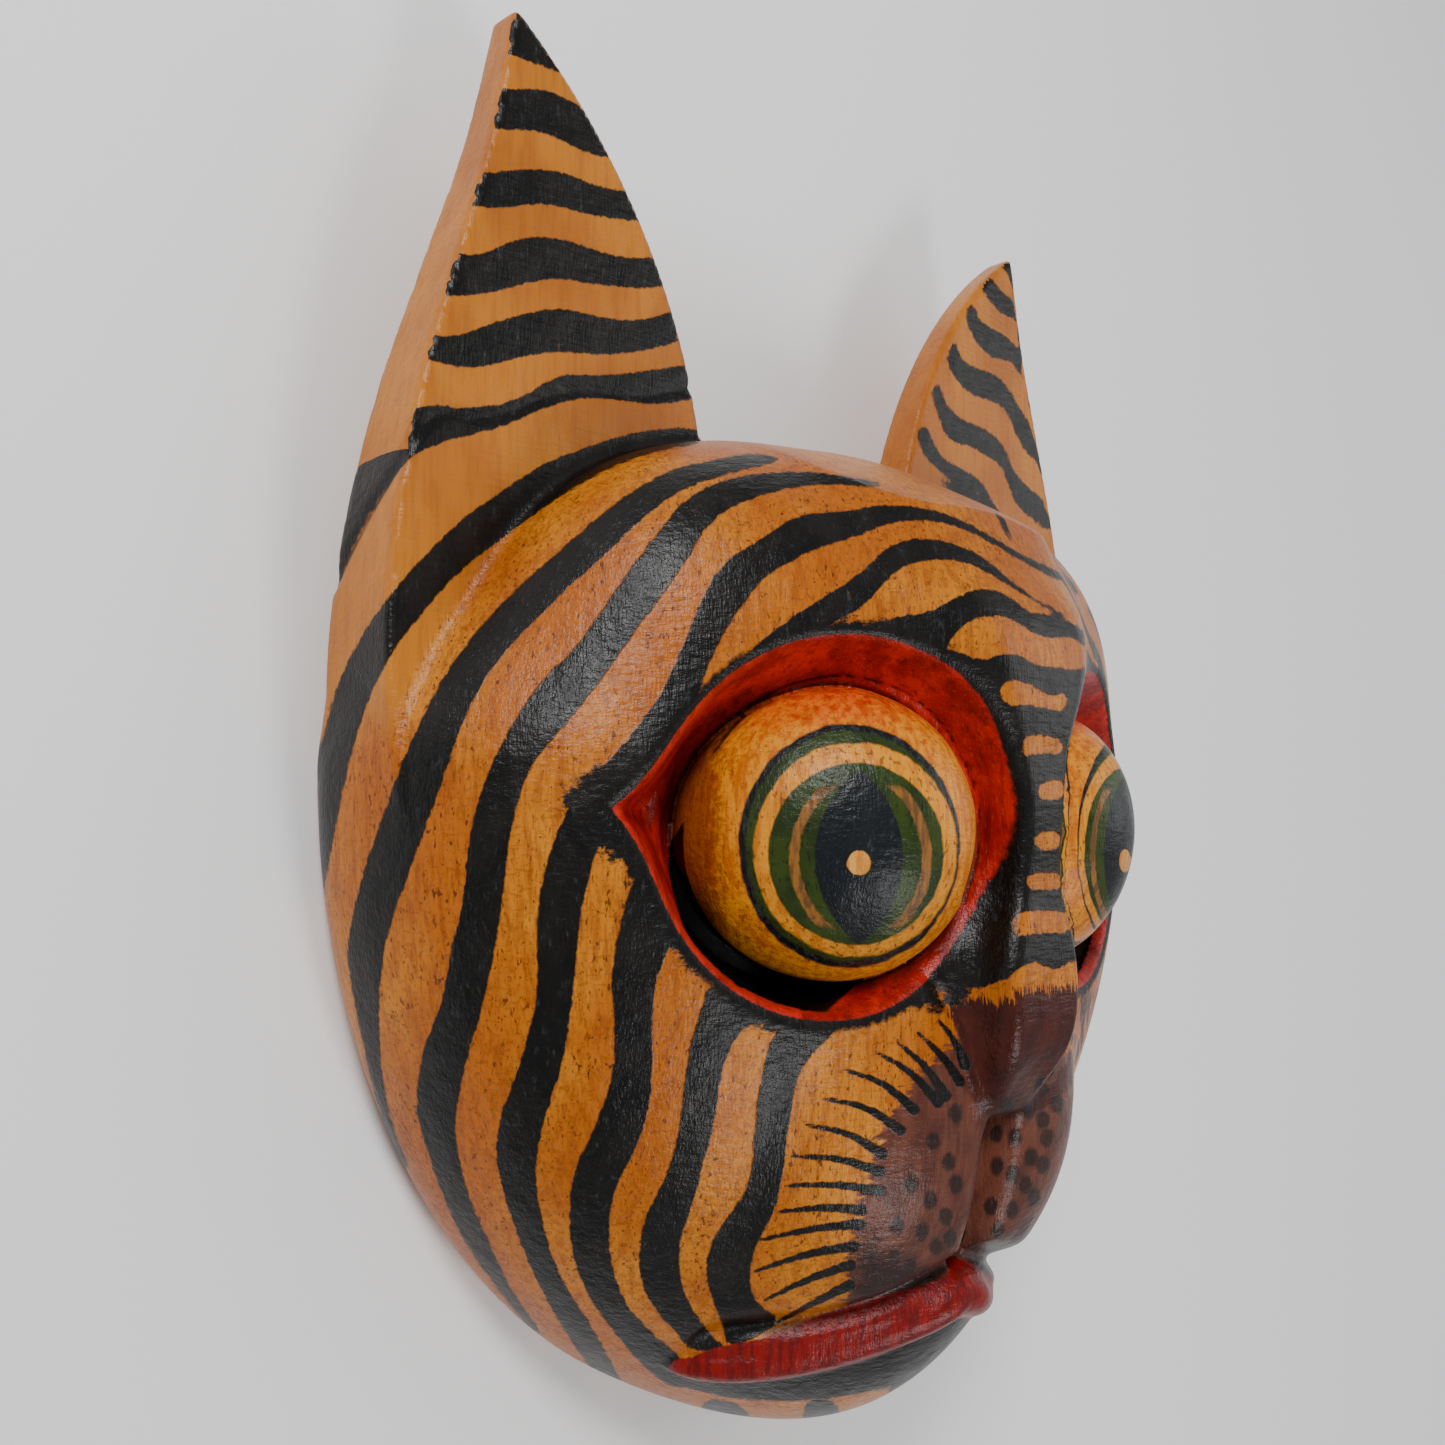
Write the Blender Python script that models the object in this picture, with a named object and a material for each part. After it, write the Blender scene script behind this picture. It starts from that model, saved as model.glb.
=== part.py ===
"""Carved wooden cat mask lying on its back rim: face up (+Z), ears towards +Y, middle line at x = 0.

One hollow piece of wood. The head, its sockets, muzzle, nose, lip and hollow are blended forms, each given by
how far a point lies outside it, so that they can be joined and cut with soft edges; no modifier makes them.
The ears and eyeballs are solids of their own that are then joined to the head.
"""

import math

import bmesh
import bpy
import numpy as np
import openvdb
from mathutils import Matrix, Vector

NAME = "cat_mask"

# Overall sizes in metres.
HEAD_WIDTH = 0.238
HEAD_HEIGHT = 0.226
HEAD_DEPTH = 0.0866
WALL = 0.011

# Head outline: shares of the head's width, height and depth.
MIDDLE_UP = 0.0637
CROWN_SHARE = 0.365
WIDEST_LEVEL = 0.147
CROWN_FULLNESS = 1.72
CHIN_FULLNESS = 1.95
BACK_DROP = 0.045

# Ears.
EAR_FRONT = 0.0305
EAR_TIP_THICKNESS = 0.0085
EAR_THICKEN_OUT = 0.08
EAR_THICKEN_DOWN = 0.09
EAR_INNER_BULGE = 0.0116
EAR_INNER_FOOT = 0.324
EAR_ROOT = 0.008
EAR_STEPS = 14

# Outer edge of the ear from its tip down to where it meets the head's side: height, then half width.
EAR_OUTER_EDGE = ((0.763, 0.7605),
                  (0.636, 0.806),
                  (0.519, 0.870),
                  (0.395, 0.936),
                  (0.262, 0.980),
                  (0.150, 0.990),
                  (0.062, 0.972),
                  (-0.030, 0.915))

# Eyes: the ball, the socket round it and the slit to see through.
EYE_DIAMETER = 0.0602
EYE_BULGE = 0.0241
EYE_STRETCH = 1.08
EYE_PLACE = (0.305, 0.0084, 0.784)
EYE_TURN = math.radians(38)
EYE_DROOP = math.radians(10)
BALL_ROOT = 0.009
SOCKET_MARGIN = 0.0088
SOCKET_TURN = math.radians(20)
SOCKET_DROOP = math.radians(3)
SOCKET_RIM_LEVEL = 0.0155
SOCKET_SLOPE = 0.40
SOCKET_DEPTH = 0.003
SOCKET_BACKING = 0.008
SOCKET_FLOOR_LEVEL = 0.0040
SOCKET_FLOOR_SLOPE = 0.70
SOCKET_SHIFT = (0.0050, 0.0010)
SOCKET_CORNER = (0.0151, 0.0050)
CORNER_SHARPNESS = 0.86
CORNER_START = 0.70
CORNER_CLIMB = 0.80
SLIT_WIDTH = 0.0054
SLIT_DIRECTION = math.radians(-43)
SLIT_CURVE_SHIFT = 0.0100
SLIT_TOP_LEVEL = 0.0095
SLIT_INTO_BALL = 0.0008

# Blended forms of the face, middle and reach as shares of half width, height and depth.
FOREHEAD = ((0.0, 0.177, 0.520), (0.420, 0.166, 0.500))
BROW = ((0.395, 0.230, 0.485), (0.320, 0.129, 0.315))
MUZZLE = ((0.151, -0.265, 0.600), (0.282, 0.164, 0.346))
CHIN = ((0.0, -0.275, 0.352), (0.411, 0.288, 0.543))
CLEFT_DEPTH = 0.0075
CLEFT_WIDTH = 0.0042
CLEFT_SPAN = (-0.318, 0.105)

# Bridge and nose: height, half width and front, from the forehead down to the nose's tip.
BRIDGE = ((0.265, 0.168, 0.808),
          (0.204, 0.143, 0.993),
          (0.133, 0.105, 1.070),
          (0.053, 0.071, 1.109),
          (-0.044, 0.071, 1.097),
          (-0.115, 0.105, 1.103),
          (-0.186, 0.097, 1.085),
          (-0.254, 0.050, 0.982))
BRIDGE_ROUND = 0.003
NOSE_TOP = -0.053

# Lower lip and the groove of the mouth above it.
LIP_FRONT = 0.793
LIP_SWEEP = 0.70
LIP_BEND = 0.006
LIP_SIDE = 0.437
LIP_UP = -0.421
LIP_DROP = 0.053
LIP_THICK = 0.0072
LIP_TALL = 0.0060
MOUTH_DEPTH = 0.0045
MOUTH_WIDTH = 0.0032
MOUTH_UP = 0.0080

# How softly each form runs into the next.
CHIN_BLEND = 0.020
FOREHEAD_BLEND = 0.030
BROW_BLEND = 0.022
BRIDGE_BLEND = 0.008
BRIDGE_TOP_BLEND = 0.030
BRIDGE_BLEND_SPAN = (0.02, 0.06)
MUZZLE_BLEND = 0.009
NOSE_BLEND = 0.0015
NOSE_TOP_BLEND = 0.004
LIP_BLEND = 0.001
SOCKET_BLEND = 0.003
CORNER_BLEND = 0.006
HOLLOW_BLEND = 0.004
BACKING_BLEND = 0.006
SLIT_BLEND = 0.0008

# Fineness of the carved surface and of the finished solid.
CARVING_STEP = 0.0016
HEAD_TRIANGLES = 7800
BALL_SEGMENTS = 28

HALF_WIDTH = HEAD_WIDTH / 2
EYE_RADIUS = EYE_DIAMETER / 2
SOCKET_RADIUS = EYE_RADIUS + SOCKET_MARGIN


def place(shares):
    """A point given as shares of half width, height and depth, in metres."""
    return shares[0] * HALF_WIDTH, shares[1] * HEAD_HEIGHT, shares[2] * HEAD_DEPTH


def join(a, b, blend=1e-6):
    h = np.maximum(blend - np.abs(a - b), 0.0) / blend
    return np.minimum(a, b) - h * h * blend * 0.25


def common(a, b, blend=1e-6):
    return -join(-a, -b, blend)


def carve(a, b, blend=1e-6):
    return -join(-a, b, blend)


def dome(x, y, z, inset=0.0):
    """The plain egg of the head, fuller at the crown than at the chin; inset gives the hollow inside it."""
    half = HALF_WIDTH - inset
    up = y - MIDDLE_UP * HEAD_HEIGHT
    above = up > 0
    reach = np.where(above, CROWN_SHARE, 1 - CROWN_SHARE) * HEAD_HEIGHT - inset
    fullness = np.where(above, CROWN_FULLNESS, CHIN_FULLNESS)
    across = np.maximum(np.abs(x) / half, 1e-6)
    along = np.maximum(np.abs(up) / reach, 1e-6)
    outline = (across**fullness + along**fullness) ** (1 / fullness)
    level = z - WIDEST_LEVEL * HEAD_DEPTH
    depth = np.where(level > 0, (1 - WIDEST_LEVEL) * HEAD_DEPTH - inset, BACK_DROP)
    rise = level / depth
    total = np.hypot(outline, rise) + 1e-6
    slope = outline ** (1 - fullness) * np.hypot(across ** (fullness - 1) / half, along ** (fullness - 1) / reach)
    return (total - 1) / (np.hypot(outline / total * slope, rise / total / depth) + 1e-3)


def lump(x, y, z, middle, reach):
    """An ellipsoid."""
    px, py, pz = x - middle[0], y - middle[1], z - middle[2]
    near = np.sqrt((px / reach[0]) ** 2 + (py / reach[1]) ** 2 + (pz / reach[2]) ** 2) + 1e-6
    steep = np.sqrt((px / reach[0] ** 2) ** 2 + (py / reach[1] ** 2) ** 2 + (pz / reach[2] ** 2) ** 2) + 1e-6
    return near * (near - 1) / steep


def face_lump(x, y, z, form):
    return lump(x, y, z, place(form[0]), place(form[1]))


def smooth_curve(y, heights, values):
    """The value at height y on a smooth curve; the rows run from the highest down."""
    heights, values = np.array(heights)[::-1] * HEAD_HEIGHT, np.array(values)[::-1]
    row = np.clip(np.searchsorted(heights, y) - 1, 0, len(heights) - 2)
    step = heights[row + 1] - heights[row]
    u = np.clip((y - heights[row]) / step, 0, 1)
    grade = np.gradient(values, heights)
    return ((1 + 2 * u) * (1 - u) ** 2 * values[row] + u * (1 - u) ** 2 * step * grade[row]
            + u * u * (3 - 2 * u) * values[row + 1] + u * u * (u - 1) * step * grade[row + 1])


def bridge(x, y, z):
    """The ridge from the forehead between the eyes down to the nose's tip."""
    heights, halves, fronts = zip(*BRIDGE)
    half = smooth_curve(y, heights, halves) * HALF_WIDTH
    front = smooth_curve(y, heights, fronts) * HEAD_DEPTH
    side = np.abs(x) - half + BRIDGE_ROUND
    over = z - front + BRIDGE_ROUND
    below = BRIDGE[-1][0] * HEAD_HEIGHT - y + BRIDGE_ROUND
    outside = np.sqrt(np.maximum(side, 0) ** 2 + np.maximum(over, 0) ** 2 + np.maximum(below, 0) ** 2)
    solid = outside + np.minimum(np.maximum(np.maximum(side, over), below), 0) - BRIDGE_ROUND
    return np.maximum(solid, y - BRIDGE[0][0] * HEAD_HEIGHT)


def eye_frame(x, y, z, turn, droop):
    """Outward, upward and forward distances from the eye's middle, in a frame turned out and tipped down."""
    ex, ey, ez = place(EYE_PLACE)
    px, py, pz = x - ex, y - ey, z - ez
    flat = px * math.sin(turn) + pz * math.cos(turn)
    out = px * math.cos(turn) - pz * math.sin(turn)
    return out, py * math.cos(droop) + flat * math.sin(droop), flat * math.cos(droop) - py * math.sin(droop)


def socket(x, y, z, grow=0.0):
    """The teardrop bowl round the eyeball, its point at the outer corner."""
    out, up, front = eye_frame(x, y, z, SOCKET_TURN, SOCKET_DROOP)
    out, up = out - SOCKET_SHIFT[0], up - SOCKET_SHIFT[1]
    disc = np.hypot(out, up) - SOCKET_RADIUS
    tip = SOCKET_RADIUS + SOCKET_CORNER[0] - SOCKET_SHIFT[0], SOCKET_CORNER[1] - SOCKET_SHIFT[1]
    length = math.hypot(*tip)
    ca, sa = tip[0] / length, tip[1] / length
    out, up = out * ca + up * sa, up * ca - out * sa
    half = math.asin(SOCKET_RADIUS / length) * CORNER_SHARPNESS
    wedge = np.abs(up) * math.cos(half) - (length - out) * math.sin(half)
    wedge = np.maximum(wedge, CORNER_START * SOCKET_RADIUS - out)
    edge = join(disc, wedge, CORNER_BLEND)
    cone = (edge - grow + SOCKET_SLOPE * (SOCKET_RIM_LEVEL - front)) / math.hypot(1, SOCKET_SLOPE)
    beside, _, ahead = eye_frame(x, y, z, EYE_TURN, EYE_DROOP)
    floor = np.maximum(SOCKET_FLOOR_LEVEL + SOCKET_FLOOR_SLOPE * edge, -SOCKET_DEPTH)
    floor = floor + CORNER_CLIMB * np.maximum(beside - EYE_RADIUS * EYE_STRETCH, 0)
    return common(cone, (floor - ahead) / math.hypot(1, SOCKET_FLOOR_SLOPE) - grow, SOCKET_BLEND)


def slit(x, y, z):
    """The crescent beside and under the eyeball that the wearer looks through."""
    out, up, front = eye_frame(x, y, z, EYE_TURN, EYE_DROOP)
    do, du = math.cos(SLIT_DIRECTION), math.sin(SLIT_DIRECTION)
    reach = EYE_RADIUS + SLIT_WIDTH - SLIT_CURVE_SHIFT
    outer = np.hypot(out - SLIT_CURVE_SHIFT * do, up - SLIT_CURVE_SHIFT * du) - reach
    inner = EYE_RADIUS - SLIT_INTO_BALL - np.hypot(np.where(out > 0, out / EYE_STRETCH, out), up)
    level = eye_frame(x, y, z, SOCKET_TURN, SOCKET_DROOP)[2]
    return np.maximum(np.maximum(outer, inner), level - SLIT_TOP_LEVEL)


def lip_path(x):
    run = np.hypot(x, LIP_BEND)
    share = x / (LIP_SIDE * HALF_WIDTH)
    front = LIP_FRONT * HEAD_DEPTH - LIP_SWEEP * (run - LIP_BEND)
    lean = 1 / np.sqrt(1 + (LIP_SWEEP * x / run) ** 2)
    up = (LIP_UP - LIP_DROP * np.sin(0.5 * math.pi * np.minimum(share, 1))) * HEAD_HEIGHT
    taper = np.sqrt(np.clip(1 - share**4, 0, 1)) + 1e-3
    return share, up, front, lean, taper


def lip(x, y, z):
    share, up, front, lean, taper = lip_path(x)
    near = np.hypot((z - front) * lean / (LIP_THICK * taper), (y - up) / (LIP_TALL * taper))
    solid = (near - 1) * LIP_TALL * taper
    return np.where(share >= 1, np.maximum(solid, LIP_TALL / 2), solid)


def pressed_lines(x, y, z):
    """How deep the cleft under the nose and the mouth's line above the lip are pressed into the front."""
    share, up, front, lean, taper = lip_path(x)
    mouth = MOUTH_DEPTH * taper * np.exp(-(((y - up - MOUTH_UP) / MOUTH_WIDTH) ** 2))
    beyond = np.abs(y / HEAD_HEIGHT - CLEFT_SPAN[0]) / CLEFT_SPAN[1]
    cleft = CLEFT_DEPTH * np.exp(-((x / CLEFT_WIDTH) ** 2) - beyond**6)
    return np.where(z > HEAD_DEPTH / 3, np.maximum(mouth, cleft), 0)


def head(x, y, z):
    """The whole carved head without ears and eyeballs, for x >= 0."""
    form = dome(x, y, z)
    form = join(form, face_lump(x, y, z, CHIN), CHIN_BLEND)
    form = join(form, face_lump(x, y, z, FOREHEAD), FOREHEAD_BLEND)
    form = join(form, face_lump(x, y, z, BROW), BROW_BLEND)
    form = join(form, bridge(x, y, z), np.interp(y, BRIDGE_BLEND_SPAN, (BRIDGE_BLEND, BRIDGE_TOP_BLEND)))
    form = carve(form, socket(x, y, z), SOCKET_BLEND)
    form = join(form, face_lump(x, y, z, MUZZLE), MUZZLE_BLEND)
    form = form + pressed_lines(x, y, z)
    nose = common(bridge(x, y, z), y - NOSE_TOP * HEAD_HEIGHT, NOSE_TOP_BLEND)
    form = join(form, nose, NOSE_BLEND)
    form = join(form, lip(x, y, z), LIP_BLEND)
    hollow = carve(dome(x, y, z, WALL), socket(x, y, z, SOCKET_BACKING), BACKING_BLEND)
    form = carve(form, hollow, HOLLOW_BLEND)
    return carve(form, slit(x, y, z), SLIT_BLEND)


def material():
    wood = bpy.data.materials.new("painted_wood")
    wood.use_nodes = True
    shader = wood.node_tree.nodes["Principled BSDF"]
    shader.inputs["Base Color"].default_value = (0.52, 0.27, 0.07, 1)
    shader.inputs["Roughness"].default_value = 0.4
    shader.inputs["Metallic"].default_value = 0.0
    return wood


def head_mesh():
    """The carved head as a mesh, sampled on one half and mirrored."""
    step = CARVING_STEP
    margin = 3 * step
    front = BRIDGE[3][2] * HEAD_DEPTH
    xs = np.arange(int((HALF_WIDTH + margin) / step) + 1) * step
    top = (MIDDLE_UP + CROWN_SHARE) * HEAD_HEIGHT
    ys = np.arange(top - HEAD_HEIGHT - margin, top + margin, step)
    zs = np.arange(-margin, front + 2 * margin, step)
    x, y, z = np.meshgrid(xs, ys, zs, indexing="ij")
    half = np.maximum(head(x, y, z), -z - step)
    full = np.concatenate([half[:0:-1], half], axis=0) / step
    grid = openvdb.FloatGrid(background=3.0)
    grid.copyFromArray(np.ascontiguousarray(full.astype(np.float32)))
    points, quads = grid.convertToQuads(isovalue=0.0)
    points = points * step + np.array([-xs[-1], ys[0], zs[0]])
    mesh = bpy.data.meshes.new(NAME)
    mesh.from_pydata(points.tolist(), [], quads.tolist())
    return mesh


def arc(start, end, bulge, steps):
    """Points from start to end along a circle arc that bulges to the left."""
    start, end = Vector(start), Vector(end)
    chord = end - start
    left = Vector((-chord.y, chord.x)).normalized()
    radius = (chord.length_squared / 4 + bulge**2) / (2 * bulge)
    centre = (start + end) / 2 + left * (bulge - radius)
    sweep = 2 * math.asin(chord.length / 2 / radius)
    first = start - centre
    return [centre + Matrix.Rotation(-sweep * i / steps, 2) @ first for i in range(steps)]


def crown_point(share):
    """A point inside the head's wall, along the crown's outline, at a share of its half width."""
    half = HALF_WIDTH - EAR_ROOT
    reach = CROWN_SHARE * HEAD_HEIGHT - EAR_ROOT
    up = reach * (1 - share**CROWN_FULLNESS) ** (1 / CROWN_FULLNESS)
    return Vector((share * half, MIDDLE_UP * HEAD_HEIGHT + up))


def ear_mesh(side):
    """A flat-fronted blade whose back slopes away, thickest at its outer foot; side is -1 or 1."""
    heights, halves = zip(*EAR_OUTER_EDGE)
    tip_up, foot_up = heights[0] * HEAD_HEIGHT, heights[-1] * HEAD_HEIGHT
    tip = Vector((halves[0] * HALF_WIDTH, tip_up))
    shares = np.linspace(EAR_INNER_FOOT, 0.999, EAR_STEPS)
    root = [crown_point(share) for share in shares]
    outline = arc(root[0], tip, EAR_INNER_BULGE, EAR_STEPS)
    for up in np.linspace(tip_up, foot_up, EAR_STEPS):
        outline.append(Vector((float(smooth_curve(up, heights, halves)) * HALF_WIDTH, up)))
    outline += reversed(root[1:])
    bm = bmesh.new()
    sheet = bm.faces.new([bm.verts.new((p.x, p.y, EAR_FRONT)) for p in outline])
    raised = bmesh.ops.extrude_face_region(bm, geom=[sheet])
    for vertex in raised["geom"]:
        if isinstance(vertex, bmesh.types.BMVert):
            out = vertex.co.x - tip.x
            down = tip.y - vertex.co.y
            thickness = EAR_TIP_THICKNESS + EAR_THICKEN_OUT * out + EAR_THICKEN_DOWN * down
            vertex.co.z -= thickness
    for vertex in bm.verts:
        vertex.co.x *= side
    bmesh.ops.recalc_face_normals(bm, faces=bm.faces)
    mesh = bpy.data.meshes.new("ear")
    bm.to_mesh(mesh)
    bm.free()
    return mesh


def ball_mesh(side):
    """The bulging eyeball, a little longer toward the corner, flat at the back where it leaves the socket's floor."""
    bm = bmesh.new()
    bmesh.ops.create_uvsphere(bm, u_segments=BALL_SEGMENTS, v_segments=BALL_SEGMENTS // 2, radius=1)
    bmesh.ops.scale(bm, vec=(EYE_RADIUS, EYE_RADIUS, EYE_BULGE), verts=bm.verts)
    for vertex in bm.verts:
        if vertex.co.x * side > 0:
            vertex.co.x *= EYE_STRETCH
    cut = bmesh.ops.bisect_plane(bm, geom=bm.verts[:] + bm.edges[:] + bm.faces[:], plane_co=(0, 0, -BALL_ROOT),
                                 plane_no=(0, 0, -1), clear_outer=True)
    bmesh.ops.holes_fill(bm, edges=[e for e in cut["geom_cut"] if isinstance(e, bmesh.types.BMEdge)])
    middle = Vector(place(EYE_PLACE))
    middle.x *= side
    turn = Matrix.Rotation(side * EYE_TURN, 4, "Y") @ Matrix.Rotation(EYE_DROOP, 4, "X")
    bmesh.ops.transform(bm, matrix=Matrix.Translation(middle) @ turn, verts=bm.verts)
    mesh = bpy.data.meshes.new("eyeball")
    bm.to_mesh(mesh)
    bm.free()
    return mesh


def applied(thing):
    """Put the modifiers' result into the object's own mesh."""
    depsgraph = bpy.context.evaluated_depsgraph_get()
    mesh = bpy.data.meshes.new_from_object(thing.evaluated_get(depsgraph))
    thing.modifiers.clear()
    thing.data = mesh


def main():
    for old in list(bpy.data.objects):
        bpy.data.objects.remove(old, do_unlink=True)
    model = bpy.data.collections.new(NAME)
    tools = bpy.data.collections.new("joined_forms")
    bpy.context.scene.collection.children.link(model)
    bpy.context.scene.collection.children.link(tools)

    mask = bpy.data.objects.new(NAME, head_mesh())
    model.objects.link(mask)
    mask.data.materials.append(material())
    triangles = 2 * len(mask.data.polygons)
    even = mask.modifiers.new("even", "SMOOTH")
    even.iterations = 2
    thin = mask.modifiers.new("fewer_faces", "DECIMATE")
    thin.ratio = HEAD_TRIANGLES / triangles
    thin.use_collapse_triangulate = True
    thin.use_symmetry = True
    applied(mask)

    for side in (-1, 1):
        for name, mesh in (("ear", ear_mesh(side)), ("eyeball", ball_mesh(side))):
            form = bpy.data.objects.new(f"{name}_{'right' if side > 0 else 'left'}", mesh)
            tools.objects.link(form)
            form.hide_render = True
            form.display_type = "WIRE"
            union = mask.modifiers.new(form.name, "BOOLEAN")
            union.operation = "UNION"
            union.object = form
    applied(mask)

    bm = bmesh.new()
    bm.from_mesh(mask.data)
    cut = bmesh.ops.bisect_plane(bm, geom=bm.verts[:] + bm.edges[:] + bm.faces[:], plane_co=(0, 0, 0),
                                 plane_no=(0, 0, -1), clear_outer=True)
    rim = [e for e in cut["geom_cut"] if isinstance(e, bmesh.types.BMEdge)]
    bmesh.ops.triangle_fill(bm, use_beauty=True, edges=rim, normal=(0, 0, -1))
    bmesh.ops.triangulate(bm, faces=bm.faces)
    bmesh.ops.recalc_face_normals(bm, faces=bm.faces)
    ups = [vertex.co.y for vertex in bm.verts]
    middle = Vector((0, (min(ups) + max(ups)) / 2, 0))
    bmesh.ops.translate(bm, vec=-middle, verts=bm.verts)
    bm.to_mesh(mask.data)
    bm.free()
    mask.data.shade_smooth()
    mask.data.set_sharp_from_angle(angle=math.radians(40))


main()
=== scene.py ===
"""Carved and painted cat mask lying on its back rim, seen as in the photograph.

The wood's form is the part's own, cut finer, but for the eye sockets: here they are wider and deeper
beside the nose than in the part, by up to 3.4 mm. The paint is drawn as the photograph shows it: outlines
are pixel positions in its 1445 x 1445 frame, and every point of the wood knows the pixel where the camera
sees it. The side that the camera can't see takes the paint of its mirror image.
"""

import math

import bmesh
import bpy
import numpy as np
import openvdb
from mathutils import Matrix, Vector


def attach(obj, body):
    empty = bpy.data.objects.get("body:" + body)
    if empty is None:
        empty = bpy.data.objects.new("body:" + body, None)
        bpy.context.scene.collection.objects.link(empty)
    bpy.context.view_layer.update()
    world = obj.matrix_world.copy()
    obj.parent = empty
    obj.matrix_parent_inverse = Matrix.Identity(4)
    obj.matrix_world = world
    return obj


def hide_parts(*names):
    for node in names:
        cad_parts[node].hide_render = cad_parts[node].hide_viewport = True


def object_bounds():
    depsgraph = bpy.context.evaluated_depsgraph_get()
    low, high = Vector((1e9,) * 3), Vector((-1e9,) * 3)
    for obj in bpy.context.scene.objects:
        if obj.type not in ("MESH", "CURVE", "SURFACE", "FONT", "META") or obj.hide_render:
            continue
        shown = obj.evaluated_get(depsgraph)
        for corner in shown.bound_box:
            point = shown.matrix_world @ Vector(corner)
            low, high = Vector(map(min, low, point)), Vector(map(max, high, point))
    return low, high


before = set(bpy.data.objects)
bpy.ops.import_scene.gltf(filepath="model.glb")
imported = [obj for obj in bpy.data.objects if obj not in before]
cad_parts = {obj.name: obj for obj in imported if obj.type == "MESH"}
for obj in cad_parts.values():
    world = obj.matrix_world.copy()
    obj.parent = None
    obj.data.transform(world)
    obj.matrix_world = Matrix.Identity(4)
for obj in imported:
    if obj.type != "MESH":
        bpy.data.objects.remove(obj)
SOLID_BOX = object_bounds()

# The part's sizes in metres and shares, as in its source.
HEAD_WIDTH = 0.238
HEAD_HEIGHT = 0.226
HEAD_DEPTH = 0.0866
WALL = 0.011
MIDDLE_UP = 0.0637
CROWN_SHARE = 0.365
WIDEST_LEVEL = 0.147
CROWN_FULLNESS = 1.72
CHIN_FULLNESS = 1.95
BACK_DROP = 0.045
EAR_FRONT = 0.0305
EAR_TIP_THICKNESS = 0.0085
EAR_THICKEN_OUT = 0.08
EAR_THICKEN_DOWN = 0.09
EAR_INNER_BULGE = 0.0116
EAR_INNER_FOOT = 0.324
EAR_ROOT = 0.008
EAR_OUTER_EDGE = ((0.763, 0.7605), (0.636, 0.806), (0.519, 0.870), (0.395, 0.936),
                  (0.262, 0.980), (0.150, 0.990), (0.062, 0.972), (-0.030, 0.915))
EYE_DIAMETER = 0.0602
EYE_BULGE = 0.0241
EYE_STRETCH = 1.08
EYE_PLACE = (0.305, 0.0084, 0.784)
EYE_TURN = math.radians(38)
EYE_DROOP = math.radians(10)
BALL_ROOT = 0.009
SOCKET_MARGIN = 0.0081
SOCKET_TURN = math.radians(20)
SOCKET_DROOP = math.radians(3)
SOCKET_RIM_LEVEL = 0.0155
SOCKET_SLOPE = 0.40
SOCKET_DEPTH = 0.003
SOCKET_BACKING = 0.008
SOCKET_FLOOR_LEVEL = 0.0100
SOCKET_FLOOR_SLOPE = 0.85
SOCKET_FLOOR_TILT = 0.16
SOCKET_STRETCH = 1.12
SOCKET_SHIFT = (0.0025, 0.0017)
SOCKET_CORNER = (0.0158, 0.0050)
CORNER_SHARPNESS = 0.86
CORNER_START = 0.70
CORNER_CLIMB = 0.80
SLIT_WIDTH = 0.0054
SLIT_DIRECTION = math.radians(-43)
SLIT_CURVE_SHIFT = 0.0100
SLIT_TOP_LEVEL = 0.0095
SLIT_INTO_BALL = 0.0008
FOREHEAD = ((0.0, 0.177, 0.520), (0.420, 0.166, 0.500))
BROW = ((0.395, 0.230, 0.485), (0.320, 0.129, 0.315))
MUZZLE = ((0.151, -0.265, 0.600), (0.282, 0.164, 0.346))
CHIN = ((0.0, -0.275, 0.352), (0.411, 0.288, 0.543))
CLEFT_DEPTH = 0.0075
CLEFT_WIDTH = 0.0042
CLEFT_SPAN = (-0.318, 0.105)
BRIDGE = ((0.265, 0.168, 0.808), (0.204, 0.143, 0.993), (0.133, 0.105, 1.070), (0.053, 0.071, 1.109),
          (-0.044, 0.071, 1.097), (-0.115, 0.105, 1.103), (-0.186, 0.097, 1.085), (-0.254, 0.050, 0.982))
BRIDGE_ROUND = 0.003
NOSE_TOP = -0.053
LIP_FRONT = 0.793
LIP_SWEEP = 0.70
LIP_BEND = 0.006
LIP_SIDE = 0.437
LIP_UP = -0.421
LIP_DROP = 0.053
LIP_THICK = 0.0072
LIP_TALL = 0.0060
MOUTH_DEPTH = 0.0045
MOUTH_WIDTH = 0.0032
MOUTH_UP = 0.0080

# How softly each form runs into the next.
CHIN_BLEND = 0.020
FOREHEAD_BLEND = 0.030
BROW_BLEND = 0.022
BRIDGE_BLEND = 0.008
BRIDGE_TOP_BLEND = 0.030
BRIDGE_BLEND_SPAN = (0.02, 0.06)
MUZZLE_BLEND = 0.009
NOSE_BLEND = 0.0015
NOSE_TOP_BLEND = 0.004
LIP_BLEND = 0.001
SOCKET_BLEND = 0.003
CORNER_BLEND = 0.006
HOLLOW_BLEND = 0.004
BACKING_BLEND = 0.006
SLIT_BLEND = 0.0008
HALF_WIDTH = HEAD_WIDTH / 2
EYE_RADIUS = EYE_DIAMETER / 2
SOCKET_RADIUS = EYE_RADIUS + SOCKET_MARGIN

# How far the head's eye level lies from the middle of the whole mask, and how fine the wood is cut.
FRAME_SHIFT = 0.02009
FINE_STEP = 0.00135
EAR_JOIN = 0.003
BALL_JOIN = 0.0006
EAR_EDGE = 0.0016

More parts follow.
